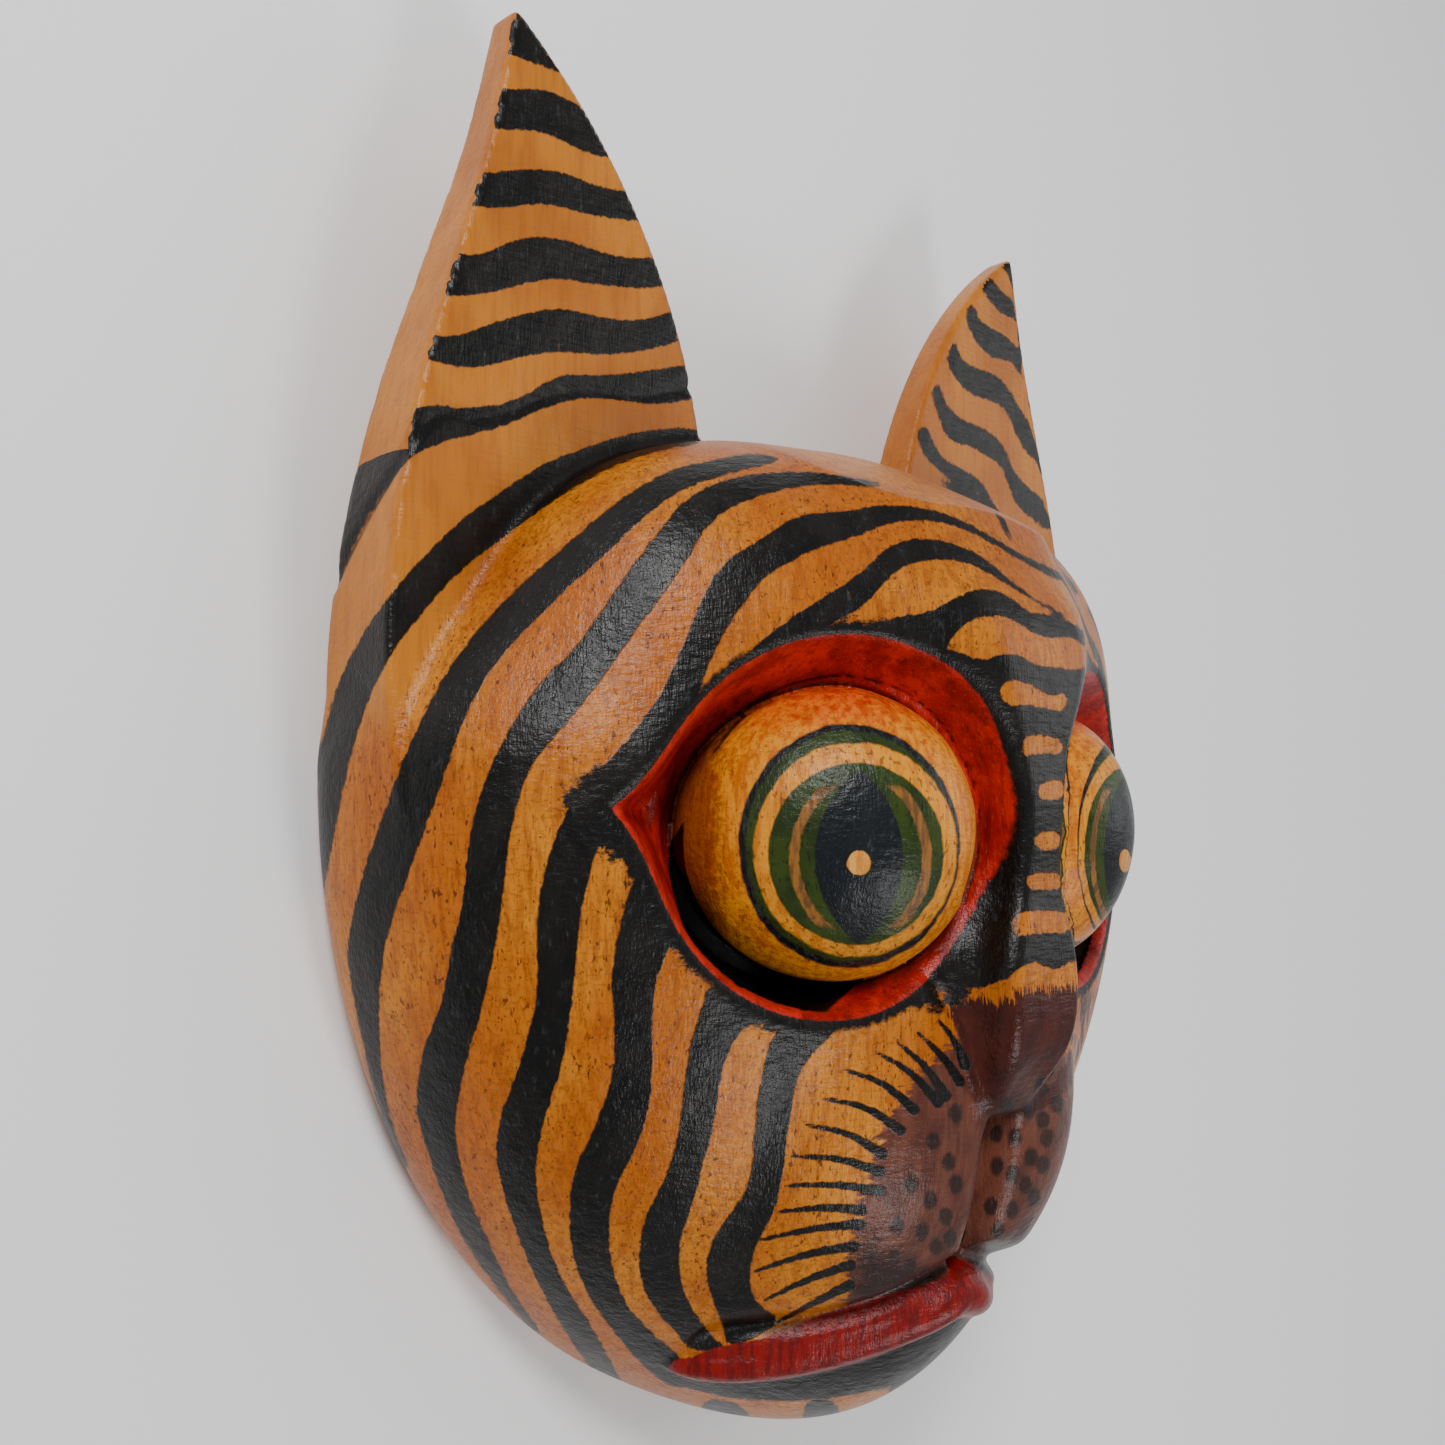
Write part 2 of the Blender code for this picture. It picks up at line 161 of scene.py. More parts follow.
# The photograph's camera: beside the mask's middle line, level with its eyes.
CAMERA_SIDE = math.radians(45)
CAMERA_AWAY = 0.3666
CAMERA_FOCUS = 1428.0
PHOTO_SIZE = 1445.0
PHOTO_MIDDLE = PHOTO_SIZE / 2
CAMERA_RISE = math.atan(121 / CAMERA_FOCUS)


# The form, for x >= 0.
def place(shares):
    return shares[0] * HALF_WIDTH, shares[1] * HEAD_HEIGHT, shares[2] * HEAD_DEPTH


def join(a, b, blend=1e-6):
    h = np.maximum(blend - np.abs(a - b), 0.0) / blend
    return np.minimum(a, b) - h * h * blend * 0.25


def common(a, b, blend=1e-6):
    return -join(-a, -b, blend)


def carve(a, b, blend=1e-6):
    return -join(-a, b, blend)


def dome(x, y, z, inset=0.0):
    half = HALF_WIDTH - inset
    up = y - MIDDLE_UP * HEAD_HEIGHT
    above = up > 0
    reach = np.where(above, CROWN_SHARE, 1 - CROWN_SHARE) * HEAD_HEIGHT - inset
    fullness = np.where(above, CROWN_FULLNESS, CHIN_FULLNESS)
    across = np.maximum(np.abs(x) / half, 1e-6)
    along = np.maximum(np.abs(up) / reach, 1e-6)
    outline = (across**fullness + along**fullness) ** (1 / fullness)
    level = z - WIDEST_LEVEL * HEAD_DEPTH
    depth = np.where(level > 0, (1 - WIDEST_LEVEL) * HEAD_DEPTH - inset, BACK_DROP)
    rise = level / depth
    total = np.hypot(outline, rise) + 1e-6
    steep = np.hypot(across ** (fullness - 1) / half, along ** (fullness - 1) / reach)
    slope = outline ** (1 - fullness) * steep
    return (total - 1) / (np.hypot(outline / total * slope, rise / total / depth) + 1e-3)


def lump(x, y, z, middle, reach):
    px, py, pz = x - middle[0], y - middle[1], z - middle[2]
    near = np.sqrt((px / reach[0]) ** 2 + (py / reach[1]) ** 2 + (pz / reach[2]) ** 2) + 1e-6
    steep = np.sqrt((px / reach[0] ** 2) ** 2 + (py / reach[1] ** 2) ** 2 + (pz / reach[2] ** 2) ** 2) + 1e-6
    return near * (near - 1) / steep


def face_lump(x, y, z, form):
    return lump(x, y, z, place(form[0]), place(form[1]))


def smooth_curve(y, heights, values):
    heights, values = np.array(heights)[::-1] * HEAD_HEIGHT, np.array(values)[::-1]
    row = np.clip(np.searchsorted(heights, y) - 1, 0, len(heights) - 2)
    step = heights[row + 1] - heights[row]
    u = np.clip((y - heights[row]) / step, 0, 1)
    grade = np.gradient(values, heights)
    return ((1 + 2 * u) * (1 - u) ** 2 * values[row] + u * (1 - u) ** 2 * step * grade[row]
            + u * u * (3 - 2 * u) * values[row + 1] + u * u * (u - 1) * step * grade[row + 1])


def bridge(x, y, z):
    heights, halves, fronts = zip(*BRIDGE)
    half = smooth_curve(y, heights, halves) * HALF_WIDTH
    front = smooth_curve(y, heights, fronts) * HEAD_DEPTH
    side = np.abs(x) - half + BRIDGE_ROUND
    over = z - front + BRIDGE_ROUND
    below = BRIDGE[-1][0] * HEAD_HEIGHT - y + BRIDGE_ROUND
    outside = np.sqrt(np.maximum(side, 0) ** 2 + np.maximum(over, 0) ** 2 + np.maximum(below, 0) ** 2)
    solid = outside + np.minimum(np.maximum(np.maximum(side, over), below), 0) - BRIDGE_ROUND
    return np.maximum(solid, y - BRIDGE[0][0] * HEAD_HEIGHT)


def eye_frame(x, y, z, turn, droop):
    ex, ey, ez = place(EYE_PLACE)
    px, py, pz = x - ex, y - ey, z - ez
    flat = px * math.sin(turn) + pz * math.cos(turn)
    out = px * math.cos(turn) - pz * math.sin(turn)
    return out, py * math.cos(droop) + flat * math.sin(droop), flat * math.cos(droop) - py * math.sin(droop)


def socket(x, y, z, grow=0.0):
    out, up, front = eye_frame(x, y, z, SOCKET_TURN, SOCKET_DROOP)
    out, up = out - SOCKET_SHIFT[0], up - SOCKET_SHIFT[1]
    disc = np.hypot(np.where(out > 0, out / SOCKET_STRETCH, out), up) - SOCKET_RADIUS
    tip = SOCKET_RADIUS + SOCKET_CORNER[0] - SOCKET_SHIFT[0], SOCKET_CORNER[1] - SOCKET_SHIFT[1]
    length = math.hypot(*tip)
    ca, sa = tip[0] / length, tip[1] / length
    out, up = out * ca + up * sa, up * ca - out * sa
    half = math.asin(SOCKET_RADIUS / length) * CORNER_SHARPNESS
    wedge = np.abs(up) * math.cos(half) - (length - out) * math.sin(half)
    wedge = np.maximum(wedge, CORNER_START * SOCKET_RADIUS - out)
    edge = join(disc, wedge, CORNER_BLEND)
    cone = (edge - grow + SOCKET_SLOPE * (SOCKET_RIM_LEVEL - front)) / math.hypot(1, SOCKET_SLOPE)
    beside, over, ahead = eye_frame(x, y, z, EYE_TURN, EYE_DROOP)
    toward_slit = np.maximum(beside * math.cos(SLIT_DIRECTION) + over * math.sin(SLIT_DIRECTION), 0)
    floor = SOCKET_FLOOR_LEVEL + SOCKET_FLOOR_SLOPE * edge - SOCKET_FLOOR_TILT * toward_slit
    floor = np.maximum(floor, -SOCKET_DEPTH)
    floor = floor + CORNER_CLIMB * np.maximum(beside - EYE_RADIUS * EYE_STRETCH, 0)
    deep = (floor - np.maximum(ahead, front)) / math.hypot(1, SOCKET_FLOOR_SLOPE)
    return common(cone, deep - grow, SOCKET_BLEND)


def ball(x, y, z):
    out, up, front = eye_frame(x, y, z, EYE_TURN, EYE_DROOP)
    out = np.where(out > 0, out / EYE_STRETCH, out)
    whole = lump(out, up, front, (0, 0, 0), (EYE_RADIUS, EYE_RADIUS, EYE_BULGE))
    return np.maximum(whole, -BALL_ROOT - front)


def slit(x, y, z):
    out, up, front = eye_frame(x, y, z, EYE_TURN, EYE_DROOP)
    do, du = math.cos(SLIT_DIRECTION), math.sin(SLIT_DIRECTION)
    reach = EYE_RADIUS + SLIT_WIDTH - SLIT_CURVE_SHIFT
    outer = np.hypot(out - SLIT_CURVE_SHIFT * do, up - SLIT_CURVE_SHIFT * du) - reach
    inner = EYE_RADIUS - SLIT_INTO_BALL - np.hypot(np.where(out > 0, out / EYE_STRETCH, out), up)
    level = eye_frame(x, y, z, SOCKET_TURN, SOCKET_DROOP)[2]
    return np.maximum(np.maximum(outer, inner), level - SLIT_TOP_LEVEL)


def lip_path(x):
    run = np.hypot(x, LIP_BEND)
    share = x / (LIP_SIDE * HALF_WIDTH)
    front = LIP_FRONT * HEAD_DEPTH - LIP_SWEEP * (run - LIP_BEND)
    lean = 1 / np.sqrt(1 + (LIP_SWEEP * x / run) ** 2)
    up = (LIP_UP - LIP_DROP * np.sin(0.5 * math.pi * np.minimum(share, 1))) * HEAD_HEIGHT
    taper = np.sqrt(np.clip(1 - share**4, 0, 1)) + 1e-3
    return share, up, front, lean, taper


def lip(x, y, z):
    share, up, front, lean, taper = lip_path(x)
    near = np.hypot((z - front) * lean / (LIP_THICK * taper), (y - up) / (LIP_TALL * taper))
    solid = (near - 1) * LIP_TALL * taper
    return np.where(share >= 1, np.maximum(solid, LIP_TALL / 2), solid)


def pressed_lines(x, y, z):
    share, up, front, lean, taper = lip_path(x)
    mouth = MOUTH_DEPTH * taper * np.exp(-(((y - up - MOUTH_UP) / MOUTH_WIDTH) ** 2))
    beyond = np.abs(y / HEAD_HEIGHT - CLEFT_SPAN[0]) / CLEFT_SPAN[1]
    cleft = CLEFT_DEPTH * np.exp(-((x / CLEFT_WIDTH) ** 2) - beyond**6)
    return np.where(z > HEAD_DEPTH / 3, np.maximum(mouth, cleft), 0)


def hollow(x, y, z):
    return carve(dome(x, y, z, WALL), socket(x, y, z, SOCKET_BACKING), BACKING_BLEND)


def nose(x, y, z):
    return common(bridge(x, y, z), y - NOSE_TOP * HEAD_HEIGHT, NOSE_TOP_BLEND)


def head(x, y, z):
    form = dome(x, y, z)
    form = join(form, face_lump(x, y, z, CHIN), CHIN_BLEND)
    form = join(form, face_lump(x, y, z, FOREHEAD), FOREHEAD_BLEND)
    form = join(form, face_lump(x, y, z, BROW), BROW_BLEND)
    form = join(form, bridge(x, y, z), np.interp(y, BRIDGE_BLEND_SPAN, (BRIDGE_BLEND, BRIDGE_TOP_BLEND)))
    form = carve(form, socket(x, y, z), SOCKET_BLEND)
    form = join(form, face_lump(x, y, z, MUZZLE), MUZZLE_BLEND)
    form = form + pressed_lines(x, y, z)
    form = join(form, nose(x, y, z), NOSE_BLEND)
    form = join(form, lip(x, y, z), LIP_BLEND)
    form = carve(form, hollow(x, y, z), HOLLOW_BLEND)
    return carve(form, slit(x, y, z), SLIT_BLEND)


def crown_half(inset):
    return HALF_WIDTH - inset, CROWN_SHARE * HEAD_HEIGHT - inset


def ear(x, y, z):
    """Between a circle arc at the inner side and the outer edge's curve, from the crown up."""
    heights, halves = zip(*EAR_OUTER_EDGE)
    tip = np.array((halves[0] * HALF_WIDTH, heights[0] * HEAD_HEIGHT))
    half, reach = crown_half(EAR_ROOT)
    foot_up = MIDDLE_UP * HEAD_HEIGHT + reach * (1 - EAR_INNER_FOOT**CROWN_FULLNESS) ** (1 / CROWN_FULLNESS)
    foot = np.array((EAR_INNER_FOOT * half, foot_up))
    chord = tip - foot
    left = np.array((-chord[1], chord[0])) / np.hypot(*chord)
    radius = (chord @ chord / 4 + EAR_INNER_BULGE**2) / (2 * EAR_INNER_BULGE)
    centre = (foot + tip) / 2 + left * (EAR_INNER_BULGE - radius)
    inner = np.hypot(x - centre[0], y - centre[1]) - radius
    low, high = heights[-1] * HEAD_HEIGHT, tip[1]
    level = np.clip(y, low, high)
    edge = smooth_curve(level, heights, halves) * HALF_WIDTH
    lean = (smooth_curve(np.clip(y + 1e-4, low, high), heights, halves) * HALF_WIDTH - edge) / 1e-4
    outer = (x - edge) / np.hypot(1, lean)
    up = np.maximum(y - MIDDLE_UP * HEAD_HEIGHT, 0)
    root = 1 - ((x / half) ** CROWN_FULLNESS + (up / reach) ** CROWN_FULLNESS) ** (1 / CROWN_FULLNESS)
    side = common(common(inner, outer, EAR_EDGE), np.maximum(root * reach, low - y))
    thickness = EAR_TIP_THICKNESS + EAR_THICKEN_OUT * (x - tip[0]) + EAR_THICKEN_DOWN * (tip[1] - y)
    slab = np.maximum(z - EAR_FRONT, EAR_FRONT - thickness - z)
    return common(side, slab, EAR_EDGE)


def wood(x, y, z):
    x = np.abs(x)
    form = join(head(x, y, z), ear(x, y, z), EAR_JOIN)
    return join(form, ball(x, y, z), BALL_JOIN)


# The mesh.
def slope_of(points, h=0.0004):
    """The field's value and unit slope at each point."""
    x, y, z = points.T
    grade = np.stack([wood(x + h, y, z) - wood(x - h, y, z),
                      wood(x, y + h, z) - wood(x, y - h, z),
                      wood(x, y, z + h) - wood(x, y, z - h)], axis=1) / (2 * h)
    size = np.linalg.norm(grade, axis=1, keepdims=True) + 1e-6
    return wood(x, y, z)[:, None] / size, grade / size


def settle(points, rounds=3):
    """Move points onto the wood's surface, and the lowest ones onto the flat rim."""
    flat = points[:, 2] < FINE_STEP * 0.6
    for _ in range(rounds):
        value, grade = slope_of(points)
        move = np.clip(value, -FINE_STEP / 2, FINE_STEP / 2) * grade
        move[flat, 2] = 0
        points = points - move
    points[flat, 2] = 0
    return points


def wood_mesh():
    step = FINE_STEP
    xs = np.arange(int((HALF_WIDTH + 4 * step) / step)) * step
    low = (MIDDLE_UP + CROWN_SHARE - 1) * HEAD_HEIGHT - 4 * step
    ys = np.arange(low, EAR_OUTER_EDGE[0][0] * HEAD_HEIGHT + 4 * step, step)
    zs = np.arange(-3, int(HEAD_DEPTH * 1.14 / step) + 3) * step
    x, y, z = np.meshgrid(xs, ys, zs, indexing="ij")
    half = np.maximum(wood(x, y, z), -z)
    full = np.concatenate([half[:0:-1], half], axis=0) / step
    grid = openvdb.FloatGrid(background=3.0)
    grid.copyFromArray(np.ascontiguousarray(full.astype(np.float32)))
    points, quads = grid.convertToQuads(isovalue=0.0)
    return points * step + np.array([-xs[-1], ys[0], zs[0]]), quads


def refine(points, faces, wanted):
    """Cut the wanted faces once more, into triangles."""
    mesh = bpy.data.meshes.new("wood")
    mesh.from_pydata(points.tolist(), [], faces.tolist())
    bm = bmesh.new()
    bm.from_mesh(mesh)
    bm.faces.ensure_lookup_table()
    edges = {e for i in np.flatnonzero(wanted) for e in bm.faces[i].edges}
    bmesh.ops.subdivide_edges(bm, edges=list(edges), cuts=1, use_grid_fill=True)
    bmesh.ops.triangulate(bm, faces=bm.faces)
    bm.to_mesh(mesh)
    bm.free()
    return mesh


def coordinates(mesh):
    flat = np.empty(len(mesh.vertices) * 3, np.float32)
    mesh.vertices.foreach_get("co", flat)
    return flat.reshape(-1, 3).astype(float)


def corners(mesh):
    flat = np.empty(len(mesh.polygons) * 3, np.int32)
    mesh.polygons.foreach_get("vertices", flat)
    return flat.reshape(-1, 3)


def thin_hollow(points, quads, share):
    """Coarser faces inside the hollow, where nothing fine is cut."""
    mesh = bpy.data.meshes.new("wood")
    mesh.from_pydata(points.tolist(), [], quads.tolist())
    thing = bpy.data.objects.new("wood", mesh)
    bpy.context.scene.collection.objects.link(thing)
    x, y, z = np.abs(points[:, 0]), points[:, 1], points[:, 2]
    back = (np.abs(hollow(x, y, z)) < 0.001) & (z > 0.003)
    group = thing.vertex_groups.new(name="hollow")
    group.add(np.flatnonzero(back).tolist(), 1.0, "REPLACE")
    inner = back[quads].all(axis=1).sum()
    thin = thing.modifiers.new("thin", "DECIMATE")
    thin.vertex_group = "hollow"
    thin.vertex_group_factor = 1000
    thin.ratio = 1 - inner / len(quads) * share
    thin.use_collapse_triangulate = True
    result = bpy.data.meshes.new_from_object(thing.evaluated_get(bpy.context.evaluated_depsgraph_get()))
    bpy.data.objects.remove(thing, do_unlink=True)
    points, faces = coordinates(result), corners(result)
    bpy.data.meshes.remove(result)
    return points, faces


# What the camera sees where.
CAMERA_PLACE = np.array((-CAMERA_AWAY * math.sin(CAMERA_SIDE), 0, CAMERA_AWAY * math.cos(CAMERA_SIDE)))
CAMERA_AXIS = np.array((math.sin(CAMERA_SIDE) * math.cos(CAMERA_RISE), math.sin(CAMERA_RISE),
                        -math.cos(CAMERA_SIDE) * math.cos(CAMERA_RISE)))
CAMERA_RIGHT = np.cross(CAMERA_AXIS, (0, 1, 0)) / math.cos(CAMERA_RISE)
CAMERA_UP = np.cross(CAMERA_RIGHT, CAMERA_AXIS)


def pixels(points):
    away = points - CAMERA_PLACE
    depth = away @ CAMERA_AXIS
    return (PHOTO_MIDDLE + CAMERA_FOCUS * (away @ CAMERA_RIGHT) / depth,
            PHOTO_MIDDLE - CAMERA_FOCUS * (away @ CAMERA_UP) / depth, depth)


def in_sight(points, faces, normals):
    """How far a point is seen by the camera, 0 to 1, softened along the surface."""
    u, v, depth = pixels(points)
    cell = 6.0
    across = int(PHOTO_SIZE / cell) + 40
    index = tuple(np.clip((line / cell).astype(int) + 10, 1, across - 2) for line in (u, v))
    nearest = np.full((across, across), 9.0)
    np.minimum.at(nearest, index, depth)
    toward = CAMERA_PLACE - points
    toward /= np.linalg.norm(toward, axis=1, keepdims=True)
    facing = (normals * toward).sum(axis=1)
    seen = ((depth < nearest[index] + 0.006) & (facing > 0.05)).astype(float)
    edges = np.concatenate([faces[:, [0, 1]], faces[:, [1, 2]], faces[:, [2, 0]]])
    degree = np.bincount(edges.ravel(), minlength=len(points)) + 1
    for _ in range(6):
        total = seen + np.bincount(edges[:, 0], seen[edges[:, 1]], len(points))
        total += np.bincount(edges[:, 1], seen[edges[:, 0]], len(points))
        seen = total / degree
    return np.clip(seen * 1.6 - 0.3, 0, 1)


# Painted outlines, in pixels of the photograph.
FAR_OFF = 40.0


def rounded(loop, closed=True, rounds=2):
    points = np.array(loop, float)
    for _ in range(rounds):
        after = np.roll(points, -1, axis=0)
        cut = np.stack([0.75 * points + 0.25 * after, 0.25 * points + 0.75 * after], axis=1).reshape(-1, 2)
        points = cut if closed else np.vstack([points[:1], cut[:-2], points[-1:]])
    return points


def run_distance(u, v, start, end):
    run = end - start
    share = np.clip(((u - start[0]) * run[0] + (v - start[1]) * run[1]) / max(run @ run, 1e-9), 0, 1)
    return np.hypot(u - start[0] - share * run[0], v - start[1] - share * run[1])


def patch(u, v, loop, rounds=2):
    """Signed distance to a closed outline, negative inside."""
    points = rounded(loop, rounds=rounds)
    result = np.full(len(u), FAR_OFF)
    low, high = points.min(axis=0) - FAR_OFF, points.max(axis=0) + FAR_OFF
    near = np.flatnonzero((u > low[0]) & (u < high[0]) & (v > low[1]) & (v < high[1]))
    pu, pv = u[near], v[near]
    best = np.full(len(near), FAR_OFF)
    inside = np.zeros(len(near), bool)
    for start, end in zip(points, np.roll(points, -1, axis=0)):
        best = np.minimum(best, run_distance(pu, pv, start, end))
        crosses = (start[1] > pv) != (end[1] > pv)
        rise = end[1] - start[1]
        at = start[0] + (pv - start[1]) / (rise if rise else 1e-9) * (end[0] - start[0])
        inside ^= crosses & (pu < at)
    result[near] = np.where(inside, -best, best)
    return result


def stroke(u, v, line, width, taper=0.0):
    """Signed distance to a brush stroke; taper narrows its start."""
    points = rounded(line, closed=False)
    result = np.full(len(u), FAR_OFF)
    low, high = points.min(axis=0) - FAR_OFF, points.max(axis=0) + FAR_OFF
    near = np.flatnonzero((u > low[0]) & (u < high[0]) & (v > low[1]) & (v < high[1]))
    best = np.full(len(near), FAR_OFF)
    for i in range(len(points) - 1):
        grown = 1 - taper * (1 - (i + 0.5) / (len(points) - 1))
        best = np.minimum(best, run_distance(u[near], v[near], points[i], points[i + 1]) - width / 2 * grown)
    result[near] = best
    return result


# Bands from edge to edge: the first line is the left or upper edge, the second the right or lower one.
BANDS = (
    # near ear
    (((480, -20), (505, -20), (525, 0)), ((440, 60), (505, 52), (530, 62), (575, 78))),
    (((455, 82), (500, 90), (540, 88), (560, 95), (600, 116)), ((440, 122), (495, 131), (540, 129),
      (595, 158), (625, 156))),
    (((430, 165), (482, 174), (520, 169), (560, 170), (600, 188), (640, 192)),
     ((420, 195), (473, 206), (500, 209), (545, 202), (590, 216), (655, 224))),
    (((400, 248), (455, 253), (480, 256), (520, 237), (560, 237), (620, 259), (670, 257)),
     ((390, 287), (447, 297), (490, 294), (550, 276), (600, 286), (672, 290))),
    (((380, 322), (435, 336), (460, 336), (500, 320), (555, 306), (600, 317), (640, 322), (690, 305)),
     ((365, 340), (424, 358), (470, 371), (520, 357), (560, 351), (620, 357), (695, 338))),
    (((330, 590), (331, 550), (343, 500), (365, 450), (395, 415), (430, 403), (470, 409), (515, 402),
      (560, 373),
      (600, 376), (650, 371), (700, 362)),
     ((336, 588), (350, 545), (372, 505), (400, 462), (440, 442), (500, 428), (540, 410), (580, 397),
      (620, 400),
      (660, 406), (706, 396))),
    # where the ear meets the head
    (((700, 428), (660, 428), (620, 436), (580, 449), (540, 465), (500, 492), (460, 520), (420, 560),
      (385, 600),
      (355, 645), (335, 690), (322, 740), (300, 800)),
     ((704, 444), (660, 450), (620, 463), (580, 484), (540, 510), (500, 540), (460, 570), (420, 615),
      (390, 655),
      (368, 700), (352, 750), (338, 815), (326, 880), (318, 930))),
    # cheek and forehead, from the outer side inwards
    (((751, 452), (723, 458), (680, 466), (640, 485), (600, 515), (560, 550), (520, 585), (480, 625),
      (440, 680),
      (400, 765), (381, 820), (360, 880), (345, 950), (352, 990), (362, 1040), (375, 1100), (400, 1165)),
     ((790, 459), (723, 475), (680, 490), (640, 520), (600, 560), (560, 595), (520, 635), (490, 670),
      (465, 715),
      (448, 765), (430, 815), (410, 870), (390, 925), (382, 960), (378, 1020), (383, 1085), (393, 1130),
      (412, 1172))),
    (((880, 482), (840, 475), (801, 471), (759, 473), (723, 480), (698, 491), (680, 504), (660, 530),
      (640, 555),
      (605, 605), (575, 650), (540, 680), (505, 735), (480, 790), (467, 850), (463, 905), (450, 950),
      (443, 1000),
      (422, 1050), (415, 1100), (420, 1127), (436, 1180), (463, 1242), (498, 1290), (530, 1330)),
     ((880, 488), (840, 484), (794, 487), (759, 496), (730, 507), (705, 528), (690, 555), (670, 585),
      (640, 625),
      (605, 675), (570, 720), (530, 765), (518, 800), (508, 845), (503, 900), (495, 950), (482, 1010),
      (466, 1060),
      (457, 1105), (454, 1132), (466, 1191), (490, 1245), (514, 1296), (545, 1335))),
    (((1062, 572), (1026, 557), (991, 536), (959, 518), (923, 507), (884, 504), (851, 511), (801, 514),
      (780, 525),
      (751, 546), (730, 557), (708, 584), (695, 615), (675, 665), (655, 705), (610, 760), (580, 785),
      (560, 825),
      (545, 865), (536, 915), (538, 985), (533, 1015), (520, 1065), (500, 1114), (496, 1148), (498, 1175),
      (517, 1237), (546, 1301), (581, 1357), (600, 1380)),
     ((1066, 585), (1026, 564), (991, 543), (955, 525), (923, 520), (894, 521), (859, 536), (812, 550),
      (787, 564),
      (766, 575), (737, 611), (712, 655), (700, 690), (690, 740), (640, 800), (612, 815), (600, 840),
      (588, 880),
      (579, 925), (573, 1000), (562, 1068), (543, 1122), (535, 1167), (538, 1205), (557, 1274),
      (594, 1330), (620, 1378), (625, 1390))),
    (((1062, 612), (1037, 600), (1009, 579), (984, 557), (955, 543), (923, 537), (901, 541), (884, 550),
      (866, 568),
      (848, 582), (801, 611), (780, 626), (741, 657), (712, 695)),
     ((1070, 625), (1044, 607), (1009, 586), (980, 568), (959, 561), (930, 559), (909, 564), (891, 575),
      (880, 589),
      (866, 604), (851, 614), (830, 625), (800, 650), (760, 680), (725, 715))),
    (((1105, 662), (1094, 643), (1073, 621), (1044, 614), (1026, 611), (1009, 596), (994, 589), (973, 589),
      (951, 600), (930, 612), (901, 616), (875, 622)),
     ((1105, 680), (1091, 652), (1073, 636), (1051, 639), (1030, 632), (1016, 621), (1001, 616), (984, 616),
      (969, 621), (955, 634), (945, 650), (920, 660))),
    # below the eye, from the outer side inwards
    (((648, 862), (628, 890), (617, 938), (611, 975), (615, 1045), (613, 1076), (594, 1130), (573, 1172),
      (569, 1207), (570, 1247), (583, 1288), (605, 1322), (648, 1373), (680, 1392)),
     ((690, 925), (672, 940), (656, 980), (652, 1010), (653, 1073), (648, 1114), (637, 1146), (618, 1180),
      (608, 1218), (610, 1258), (621, 1296), (640, 1322), (680, 1357), (700, 1375))),
    (((712, 975), (697, 1020), (686, 1060), (680, 1130), (666, 1178), (645, 1215), (638, 1253), (642, 1288),
      (658, 1314), (677, 1333), (690, 1352)),
     ((775, 1010), (740, 1030), (722, 1065), (715, 1122), (701, 1172), (691, 1210), (679, 1242), (680, 1280),
      (691, 1309), (715, 1340), (730, 1350))),
    (((800, 1010), (773, 1032), (763, 1068), (755, 1114), (753, 1159), (747, 1191), (720, 1226), (705, 1258),
      (709, 1293), (722, 1322), (728, 1352)),
     ((868, 1005), (835, 1030), (798, 1070), (790, 1114), (784, 1167), (776, 1210), (760, 1237), (752, 1258),
      (749, 1288), (760, 1306), (785, 1322))),
)
# Between the eyes, and the bars left in yellow there.
BETWEEN_EYES = ((935, 645), (955, 650), (980, 661), (1001, 654), (1019, 654), (1037, 666), (1055, 666),
                (1073, 671),
                (1100, 662), (1110, 690), (1110, 960), (1072, 960), (1058, 970), (1048, 968), (1030, 960),
                (1000, 985), (945, 990), (940, 950), (940, 900), (940, 850), (930, 770), (925, 700))
BARS = (((1000, 686), (1014, 679), (1030, 684), (1048, 696), (1068, 693), (1064, 712), (1048, 709),
        (1026, 704),
         (1009, 706), (1001, 697)),
        ((1023, 742), (1030, 735), (1044, 735), (1062, 740), (1062, 755), (1044, 752), (1022, 757)),
        ((1038, 783), (1066, 779), (1066, 799), (1038, 800)),
        ((1036, 832), (1062, 832), (1062, 849), (1035, 850)),
        ((1028, 873), (1064, 873), (1066, 889), (1026, 890)),
        ((1013, 914), (1040, 910), (1070, 912), (1070, 934), (1040, 932), (1012, 938)))
